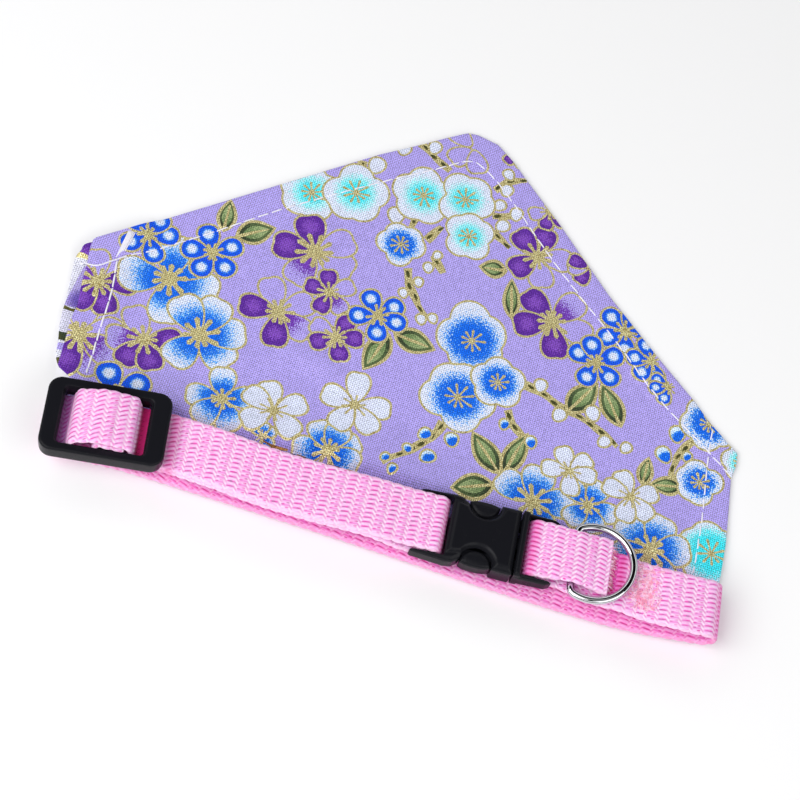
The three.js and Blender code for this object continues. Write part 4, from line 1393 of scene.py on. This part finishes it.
# How far the folded end lies to the side of the strap under it.
FOLD_OFFSET = 2.15


def on_strap(x, y, level):
    """Points on the front half of the strap by its sewn end."""
    shift, slant, _ = sway(x, np.ones(len(x)))
    return np.column_stack([x - slant * y, y + shift, np.broadcast_to(level, x.shape)])


def sewn_threads(dice):
    """The bartack's crossed threads, each a short arch over the strap."""
    route, layer, _ = strap_route()
    front = (np.abs(layer - 1) < 0.1) & (route[:, 0] > 57.0)
    order = np.argsort(route[front, 0])
    strap_x, strap_z = route[front][order].T
    parts = []
    for _ in range(BARTACK_THREADS):
        angle = math.radians(dice.uniform(-10, 130))
        run = np.array([-1.0, 0.0, 1.0]) * dice.uniform(0.8, 1.9)
        bend = np.array([0.0, dice.uniform(-0.5, 0.5), 0.0])
        x = BARTACK_MIDDLE[0] + BARTACK_REACH[0] * dice.triangular(-1, 0, 1) + run * math.cos(angle) + bend
        y = BARTACK_MIDDLE[1] + BARTACK_REACH[1] * dice.uniform(-1, 1) + run * math.sin(angle) - bend
        path = on_strap(x, y, 0.0)
        arch = np.array([-0.12, dice.uniform(0.05, 0.3), -0.12])
        path[:, 2] = np.interp(path[:, 0], strap_x, strap_z) + STRAP_HALF + arch
        parts.append(tube(resample(softened(path), 0.45), THREAD_RADIUS, 5))
    return parts


def frayed_threads(dice):
    """Loose threads hanging from the strap's end."""
    parts = []
    for y in np.linspace(-FRAY_HALF, FRAY_HALF, FRAY_THREADS):
        drop = dice.uniform(0.3, 0.8)
        reach = dice.uniform(0.5, 2.4)
        x = STRAP_END + np.array([-1.0, -0.1, 0.4 * reach, reach])
        side = y + np.array([0, 0.02, 0.35, 0.9]) * dice.uniform(-1.2, 1.2)
        path = on_strap(x, side, END_LEVEL + 0.3)
        path += np.column_stack([np.zeros(4), np.full(4, FOLD_OFFSET), [0.1, 0.1, -0.8 * drop, -1.7]])
        parts.append(tube(softened(path, 1), THREAD_RADIUS, 5))
    return parts


def build_bartack(settings):
    """Crossed threads that sew the strap down past the ring, and the frayed end of the strap before it."""
    dice = np.random.default_rng(11)
    threads = sewn_threads(dice) + frayed_threads(dice)
    s = Shader("bartack thread")
    pale = s.rise(s.noise(900, 1.0), 0.35, 0.65)
    colour = s.mix(pale, (*settings.tack_colour, 1.0), opaque(PALE_TACK))
    piece = add_piece("bartack", *joined(threads), s.finish(Base_Color=colour, Roughness=0.6))
    finish_piece(piece, "collar", "webbing_pink")


# ---- Hardware ----


def black_plastic(name, settings):
    """Moulded black plastic with a fine grain, and a coarse one where the mesh says so."""
    s = Shader(name)
    soft = s.noise(420)
    rough = s.times(s.noise(2400), s.attribute("grain"))
    height = s.scaled(soft, 0.6, s.scaled(rough, 6.0, s.noise(5200)))
    return s.finish(
        Base_Color=(*settings.plastic_colour, 1.0), Roughness=s.scaled(soft, 0.12, 0.19),
        Specular_IOR_Level=0.1, Normal=s.bump(height, 0.00002, 0.8),
    )


def rounded_rectangle(length, width, radius, count):
    """Points round a rounded rectangle, counter-clockwise, as many to each corner as to each side."""
    share = np.arange(count // 8) / (count // 8)
    centres = [(sx * (length / 2 - radius), sy * (width / 2 - radius)) for sx, sy in CORNER_SIGNS]
    rows = []
    for quarter, centre in enumerate(centres):
        rows.append(polar(centre, math.pi / 2 * (quarter + share), radius))
        start = polar(centre, math.pi / 2 * (quarter + 1), radius)
        end = polar(centres[(quarter + 1) % 4], math.pi / 2 * (quarter + 1), radius)
        rows.append(start + (end - start) * share[:, None])
    return np.concatenate(rows)


def set_in_place(points, part):
    """Points of a part's own axes, turned about Z and moved to its place on the collar."""
    x, y, z = np.asarray(points, float).T
    x, y = turned(x, y, part["turn"])
    return np.column_stack([x, y, z]) + [part["x"], part["y"], part["z"]]


# The slider frame's section from its outer foot over the top to its inner foot: share of the way in, and z.
SLIDER_SECTION = [
    (0.12, -1.70), (0.03, -1.50), (0.0, -1.1), (0.0, 0.9), (0.02, 1.3), (0.07, 1.56), (0.15, 1.68),
    (0.30, 1.72),
    (0.78, 1.70), (0.86, 1.62), (0.90, 1.42), (0.92, 1.16), (0.96, 1.02), (1.0, 0.8),
    (1.0, -1.1), (0.97, -1.50), (0.88, -1.70), (0.5, -1.70),
]


def build_slider(settings):
    """The strap slider: a rounded frame with a stepped window and a cross bar."""
    outside = (SLIDER["length"], SLIDER["width"], SLIDER["corner"])
    window = (SLIDER["window_length"], SLIDER["window_width"], SLIDER["window_corner"])
    outer = rounded_rectangle(*outside, SLIDER_POINTS) + SLIDER_SHIFT
    inner = rounded_rectangle(*window, SLIDER_POINTS) + WINDOW_SHIFT
    share, height = softened(looped(SLIDER_SECTION))[:-1].T
    plan = outer[:, None, :] + share[None, :, None] * (inner - outer)[:, None, :]
    deeper = SLIDER_WALL * smoothstep(np.abs(outer[:, 1] - SLIDER_SHIFT[1]), 6.2, 8.8)
    heights = height - deeper[:, None] * smoothstep(-height, -0.8, 1.0)
    points = np.concatenate([plan, heights[:, :, None]], axis=2).reshape(-1, 3)
    frame_solid = (points, bands(len(outer), len(share), closed=True))
    bar = cross_bar(0.0, SLIDER["bar"] / 2, SLIDER["window_width"] / 2 + 0.6, 0.9)
    points, faces = joined([frame_solid, bar])
    material = black_plastic("slider plastic", settings)
    piece = add_piece("slider_frame", set_in_place(points, SLIDER), faces, material)
    finish_piece(piece, "collar", "moulded_black", "slider")


# The buckle's outlines in its own frame, upper halves: x, y.
SOCKET_ARMS = [(-18.4, 6.9), (-17.4, 8.2), (-9.0, 8.8), (-7.2, 8.5), (-5.0, 6.9)]
SOCKET_BODY = [(-9.6, 7.2), (-6.4, 6.5), (-4.6, 6.6), (-3.4, 8.1), (4.6, 8.5), (7.2, 8.5)]
PLUG_ARMS = [(7.5, 8.5), (9.2, 8.6), (15.6, 8.5), (17.4, 7.6)]
PLUG_SHOULDER = [(7.5, 8.5), (9.2, 8.5)]
# How far out the arms' inner faces are.
ARM_INSIDE = 7.7
# How far in an edge is at each height, for the tall body, the lower arms and the pads.
BODY_EDGES = [(0.5, -3.5), (0.0, -3.0), (0.0, 1.9), (0.25, 2.5), (0.8, 3.1), (1.5, 3.5)]
ARM_EDGES = [(0.6, -2.5), (0.0, -1.9), (0.0, 1.2), (0.25, 1.9), (0.9, 2.5)]
SHOULDER_EDGES = [(0.4, -3.3), (0.0, -2.9), (0.0, 2.5), (0.3, 3.1), (0.7, 3.3)]
PAD_EDGES = [(0.3, -2.2), (0.0, -1.9), (0.0, 1.3), (0.2, 1.75), (0.6, 2.1), (1.2, 2.3), (2.0, 2.4)]
# The middle of the notch and pad on the upper side, and the notch's radius at each height.
NOTCH = (-1.8, 8.1)
NOTCH_EDGES = [(3.95, -4.0), (3.95, 1.6), (4.15, 2.4), (4.6, 3.0), (5.5, 3.8)]
PAD_RADIUS = 3.78
# How fine the buckle's solids are cut before they are softened.
VOXEL = 0.19


def mirrored(upper):
    """A closed outline, counter-clockwise, from its upper half from left to right."""
    upper = np.array(upper, float)
    lower = upper * [1, -1]
    return np.concatenate([lower, upper[::-1]])


def skinned(rings):
    """Points and faces of a closed solid through level outlines of equal count, from low to high."""
    count = len(rings[0][0])
    points = np.concatenate([np.column_stack([outline, np.full(count, z)]) for outline, z in rings])
    return points, [face[:1] + face[:0:-1] for face in bands(len(rings), count)]


def edged(outline, edges):
    """A solid over an outline, its edge drawn in at each height."""
    low = outline.min(axis=0)
    high = outline.max(axis=0)
    middle = (low + high) / 2
    reach = (high - low) / 2
    return skinned([(middle + (outline - middle) * (1 - how_far / reach), z) for how_far, z in edges])


def box_solid(low, high):
    """A plain box."""
    outline = np.array([(low[0], low[1]), (high[0], low[1]), (high[0], high[1]), (low[0], high[1])], float)
    return skinned([(outline, low[2]), (outline, high[2])])


def round_solid(x, y, rows, count=56):
    """A solid of revolution about an upright axis: rows of radius and height."""
    turns = np.linspace(0, 2 * math.pi, count, endpoint=False)
    return skinned([(polar((x, y), turns, radius), z) for radius, z in rows])


def cross_bar(x, radius, reach, flatness=1.0):
    """A round bar across a part."""
    return tube([(x, -reach, 0.0), (x, 0.0, 0.0), (x, reach, 0.0)], radius, 20, flatness)


def carved(name, steps):
    """A mesh from solids added and cut away in order, and then softened all over."""
    base, *others = [add_mesh(name, *solid) for _, solid in steps]
    for (operation, _), other in zip(steps[1:], others):
        modifier = base.modifiers.new("cut", "BOOLEAN")
        modifier.operation = operation
        modifier.object = other
        modifier.solver = "EXACT"
    remesh = base.modifiers.new("even", "REMESH")
    remesh.mode = "VOXEL"
    remesh.voxel_size = VOXEL
    smooth = base.modifiers.new("soften", "SMOOTH")
    smooth.factor = 0.5
    smooth.iterations = 4
    graph = bpy.context.evaluated_depsgraph_get()
    mesh = bpy.data.meshes.new_from_object(base.evaluated_get(graph))
    for made in (base, *others):
        bpy.data.objects.remove(made)
    return mesh


def moulded_part(name, steps, node, settings):
    """One half of the buckle, carved in its own axes and set in its place."""
    mesh = carved(name, steps)
    places = np.zeros(3 * len(mesh.vertices), np.float32)
    mesh.vertices.foreach_get("co", places)
    local = places.reshape(-1, 3).astype(float)
    mesh.vertices.foreach_set("co", to_frame(set_in_place(local, BUCKLE)).astype(np.float32).ravel())
    mesh.materials.clear()
    mesh.materials.append(black_plastic(name + " plastic", settings))
    mesh.shade_smooth()
    mesh.update()
    piece = add_object(name, mesh)
    x, y, z = local.T
    if node == "buckle_plug":
        on_pad = np.hypot(x - NOTCH[0], np.abs(y) - NOTCH[1]) < PAD_RADIUS - 0.2
        grain = np.where(on_pad & (z > 1.5), 1.0, 0.0)
    else:
        grain = hump(x, 4.6, 1.6) * hump(y, 0, 5.5) * 0.4
    write(piece, "grain", "FLOAT", "POINT", grain)
    finish_piece(piece, "collar", "moulded_black", node)


def build_buckle(settings):
    """The side-release buckle: its socket and, fastened in it, its plug."""
    bar = BUCKLE["bar_radius"]
    bar_reach = ARM_INSIDE + 0.3
    moulded_part("socket", [
        ("START", edged(mirrored(SOCKET_ARMS), ARM_EDGES)),
        ("DIFFERENCE", box_solid((-20.0, -ARM_INSIDE, -6), (-9.6, ARM_INSIDE, 6))),
        ("UNION", cross_bar(BUCKLE["socket_bar"], bar, bar_reach)),
        ("UNION", edged(mirrored(SOCKET_BODY), BODY_EDGES)),
        ("DIFFERENCE", box_solid((-7.5, -6.6, -1.9), (9.0, 6.6, 1.9))),
        ("DIFFERENCE", round_solid(NOTCH[0], NOTCH[1], NOTCH_EDGES)),
        ("DIFFERENCE", round_solid(NOTCH[0], -NOTCH[1], NOTCH_EDGES)),
    ], "buckle_socket", settings)
    steps = [
        ("START", edged(mirrored(PLUG_ARMS), ARM_EDGES)),
        ("DIFFERENCE", box_solid((9.2, -ARM_INSIDE, -6), (19.0, ARM_INSIDE, 6))),
        ("UNION", cross_bar(BUCKLE["plug_bar"], bar, bar_reach)),
        ("UNION", edged(mirrored(PLUG_SHOULDER), SHOULDER_EDGES)),
        ("UNION", box_solid((-4.0, -1.3, -1.6), (8.3, 1.3, 1.6))),
    ]
    for side in (-1, 1):
        inner, outer = sorted((side * 4.4, side * 6.2))
        steps.append(("UNION", box_solid((-6.2, inner, -1.6), (8.3, outer, 1.6))))
        steps.append(("UNION", pad_solid(side)))
    moulded_part("plug", steps, "buckle_plug", settings)


def pad_solid(side):
    """The pad that a finger presses, filling the socket's notch."""
    turns = np.linspace(0, math.pi, 36)
    arc = -PAD_RADIUS * np.stack([np.cos(turns), 1.02 * np.sin(turns)], axis=1)
    outer = np.stack([3.3 * np.cos(turns), 0.5 * np.sin(turns)], axis=1)
    outline = np.concatenate([arc, outer[1:-1]]) + NOTCH
    if side < 0:
        outline = (outline * [1, -1])[::-1]
    return edged(outline, PAD_EDGES)


def build_ring(settings):
    """The chrome D-ring: an arc of wire and its straight bar, with soft corners between them."""
    bar = RING["bar"]
    bend = RING["bend"]
    limit = math.acos(-bar / bend)
    arc = polar((bar, 0), np.linspace(-limit, limit, 90), bend)
    half_bar = math.sqrt(bend * bend - bar * bar) - RING["corner"]
    straight = np.linspace(half_bar, -half_bar, 16)
    path = np.concatenate([arc, np.column_stack([0 * straight, straight])])
    for _ in range(3):
        path = 0.5 * path + 0.25 * (np.roll(path, 1, axis=0) + np.roll(path, -1, axis=0))
    points, faces = tube(np.column_stack([path, np.zeros(len(path))]), RING["wire"], 20, closed=True)
    x, y, z = points.T
    x, z = turned(x, z, RING["tilt"])
    points = set_in_place(np.column_stack([x - bar, y, z]), RING)
    s = Shader("chrome")
    material = s.finish(
        Base_Color=(*settings.ring_colour, 1.0), Metallic=1.0, Roughness=s.scaled(s.noise(300), 0.05, 0.02),
    )
    finish_piece(add_piece("ring", points, faces, material), "ring", "ring_chrome", "d_ring")


# ---- Stage ----

# The view, turned in degrees about its target and away from it in metres, and half the floor's width.
VIEW_ELEVATION = 62.0
VIEW_AZIMUTH = -5.0
VIEW_ROLL = 21.3
VIEW_DISTANCE = 0.480
VIEW_LENS = 86.75
VIEW_TARGET = (0.0, 34.0, 0.0)
FLOOR_REACH = 3.0

WORLD_STRENGTH = 0.50
# How light the studio is at each height of the view, from the level of the table up.
WORLD_LEVELS = [(0.01, 0.0), (0.27, 0.0), (0.31, 2.3), (0.64, 2.3), (0.68, 0.02), (0.94, 0.02), (0.97, 0.4)]


def build_camera():
    """The camera, looking down at the collar from its buckle side."""
    lens = bpy.data.cameras.new("camera")
    lens.lens = VIEW_LENS
    lens.sensor_width = 36
    lens.clip_start = 0.01
    camera = add_object("camera", lens)
    camera.matrix_world = (
        Matrix.Translation(to_frame(VIEW_TARGET)[0])
        @ Matrix.Rotation(math.radians(VIEW_AZIMUTH), 4, "Z")
        @ Matrix.Rotation(math.radians(90 - VIEW_ELEVATION), 4, "X")
        @ Matrix.Rotation(math.radians(VIEW_ROLL), 4, "Z")
        @ Matrix.Translation((0, 0, VIEW_DISTANCE))
    )
    bpy.context.scene.camera = camera


def area_light(name, place, size, power):
    """A soft square light aimed at the middle of the frame."""
    data = bpy.data.lights.new(name, "AREA")
    data.size = size
    data.energy = power
    light = add_object(name, data)
    light.location = place
    light.rotation_euler = (-Vector(place)).to_track_quat("-Z", "Y").to_euler()


def build_studio():
    """A world that is light in some bands of height, which the chrome and plastic mirror."""
    world = bpy.data.worlds.new("studio")
    world.use_nodes = True
    tree = world.node_tree
    background = tree.nodes["Background"]
    background.inputs["Strength"].default_value = WORLD_STRENGTH
    direction = tree.nodes.new("ShaderNodeTexCoord").outputs["Generated"]
    height = tree.nodes.new("ShaderNodeSeparateXYZ")
    ramp = tree.nodes.new("ShaderNodeValToRGB")
    tree.links.new(direction, height.inputs[0])
    tree.links.new(height.outputs["Z"], ramp.inputs["Fac"])
    tree.links.new(ramp.outputs["Color"], background.inputs["Color"])
    ramp.color_ramp.elements[0].position = 0.0
    ramp.color_ramp.elements[1].position = 1.0
    for position, level in WORLD_LEVELS:
        ramp.color_ramp.elements.new(position).color = (level, level, level, 1)
    bpy.context.scene.world = world


def build_stage(settings):
    """A plain pale floor, soft lights and the camera."""
    corners = [(sx * FLOOR_REACH, sy * FLOOR_REACH, 0.0) for sx, sy in CORNER_SIGNS]
    floor = add_mesh("floor", corners, [(0, 1, 2, 3)])
    floor.location.z = -0.0001
    s = Shader("floor")
    colour = (*settings.floor_colour, 1.0)
    floor.data.materials.append(s.finish(Base_Color=colour, Roughness=0.9, Specular_IOR_Level=0.1))
    build_studio()
    area_light("key", (-0.48, -0.42, 0.75), 0.9, 7.8)
    area_light("fill", (0.6, -0.5, 0.6), 0.8, 2.3)
    build_camera()
    bpy.context.scene.view_settings.view_transform = "Standard"


# ---- Add-on ----


def colour_property(name, description, default):
    """A colour that the user can change."""
    return FloatVectorProperty(
        name=name, description=description, size=3, default=tuple(default), min=0, max=1, subtype="COLOR",
    )


class BandanaSettings(bpy.types.PropertyGroup):
    """Sizes and colours of the bandana and its stage."""

    thread_pitch: FloatProperty(
        name="Thread Pitch", description="Distance between the threads of the cotton",
        default=0.00054, min=0.0001, max=0.002, precision=5, subtype="DISTANCE", unit="LENGTH",
    )
    thread_colour: colour_property("Thread", "Colour of the stitches", linear((240, 238, 248)))
    tack_colour: colour_property("Bartack", "Colour of the bartack's thread", linear((249, 158, 192)))
    strap_colour: colour_property("Strap", "Colour of the webbing", linear((244, 148, 222)))
    plastic_colour: colour_property("Plastic", "Colour of the slider and buckle", (0.0085, 0.0087, 0.0115))
    ring_colour: colour_property("Ring", "Colour of the D-ring", (0.66, 0.67, 0.70))
    floor_colour: colour_property("Floor", "Colour of the floor", (0.95, 0.95, 0.955))


class BANDANA_OT_stage(bpy.types.Operator):
    """Add the floor, the lights and the camera"""

    bl_idname = "bandana.stage"
    bl_label = "Stage"

    def execute(self, context):
        build_stage(context.scene.dog_bandana)
        return {"FINISHED"}


class BANDANA_OT_cloth(bpy.types.Operator):
    """Add the printed bandana"""

    bl_idname = "bandana.cloth"
    bl_label = "Bandana"

    def execute(self, context):
        build_cloth(context.scene.dog_bandana)
        return {"FINISHED"}


class BANDANA_OT_underlayer(bpy.types.Operator):
    """Add the folded layer that shows past the left edge"""

    bl_idname = "bandana.underlayer"
    bl_label = "Underlayer"

    def execute(self, context):
        build_underlayer(context.scene.dog_bandana)
        return {"FINISHED"}


class BANDANA_OT_stitches(bpy.types.Operator):
    """Add the stitches and tacked threads"""

    bl_idname = "bandana.stitches"
    bl_label = "Stitches"

    def execute(self, context):
        build_stitches(context.scene.dog_bandana)
        return {"FINISHED"}


class BANDANA_OT_webbing(bpy.types.Operator):
    """Add the woven strap"""

    bl_idname = "bandana.webbing"
    bl_label = "Webbing"

    def execute(self, context):
        build_webbing(context.scene.dog_bandana)
        return {"FINISHED"}


class BANDANA_OT_bartack(bpy.types.Operator):
    """Add the crossed sewing and the frayed end of the strap"""

    bl_idname = "bandana.bartack"
    bl_label = "Bartack"

    def execute(self, context):
        build_bartack(context.scene.dog_bandana)
        return {"FINISHED"}


class BANDANA_OT_slider(bpy.types.Operator):
    """Add the strap slider"""

    bl_idname = "bandana.slider"
    bl_label = "Slider"

    def execute(self, context):
        build_slider(context.scene.dog_bandana)
        return {"FINISHED"}


class BANDANA_OT_buckle(bpy.types.Operator):
    """Add the fastened buckle"""

    bl_idname = "bandana.buckle"
    bl_label = "Buckle"

    def execute(self, context):
        build_buckle(context.scene.dog_bandana)
        return {"FINISHED"}


class BANDANA_OT_ring(bpy.types.Operator):
    """Add the D-ring"""

    bl_idname = "bandana.ring"
    bl_label = "Ring"

    def execute(self, context):
        build_ring(context.scene.dog_bandana)
        return {"FINISHED"}


OPERATORS = (
    BANDANA_OT_stage,
    BANDANA_OT_cloth,
    BANDANA_OT_underlayer,
    BANDANA_OT_stitches,
    BANDANA_OT_webbing,
    BANDANA_OT_bartack,
    BANDANA_OT_slider,
    BANDANA_OT_buckle,
    BANDANA_OT_ring,
)


class BANDANA_PT_panel(bpy.types.Panel):
    """The bandana's sizes, colours and steps"""

    bl_idname = "BANDANA_PT_panel"
    bl_label = "Dog Bandana"
    bl_space_type = "VIEW_3D"
    bl_region_type = "UI"
    bl_category = "Bandana"

    def draw(self, context):
        settings = context.scene.dog_bandana
        for name in BandanaSettings.__annotations__:
            self.layout.prop(settings, name)
        for operator in OPERATORS:
            self.layout.operator(operator.bl_idname)


CLASSES = (BandanaSettings, *OPERATORS, BANDANA_PT_panel)


def register():
    for kind in CLASSES:
        bpy.utils.register_class(kind)
    bpy.types.Scene.dog_bandana = PointerProperty(type=BandanaSettings)


def unregister():
    del bpy.types.Scene.dog_bandana
    for kind in reversed(CLASSES):
        bpy.utils.unregister_class(kind)


def main():
    """Registers the add-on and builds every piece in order."""
    register()
    bpy.ops.bandana.stage()
    bpy.ops.bandana.cloth()
    bpy.ops.bandana.underlayer()
    bpy.ops.bandana.stitches()
    bpy.ops.bandana.webbing()
    bpy.ops.bandana.bartack()
    bpy.ops.bandana.slider()
    bpy.ops.bandana.buckle()
    bpy.ops.bandana.ring()


if __name__ == "__main__":
    main()
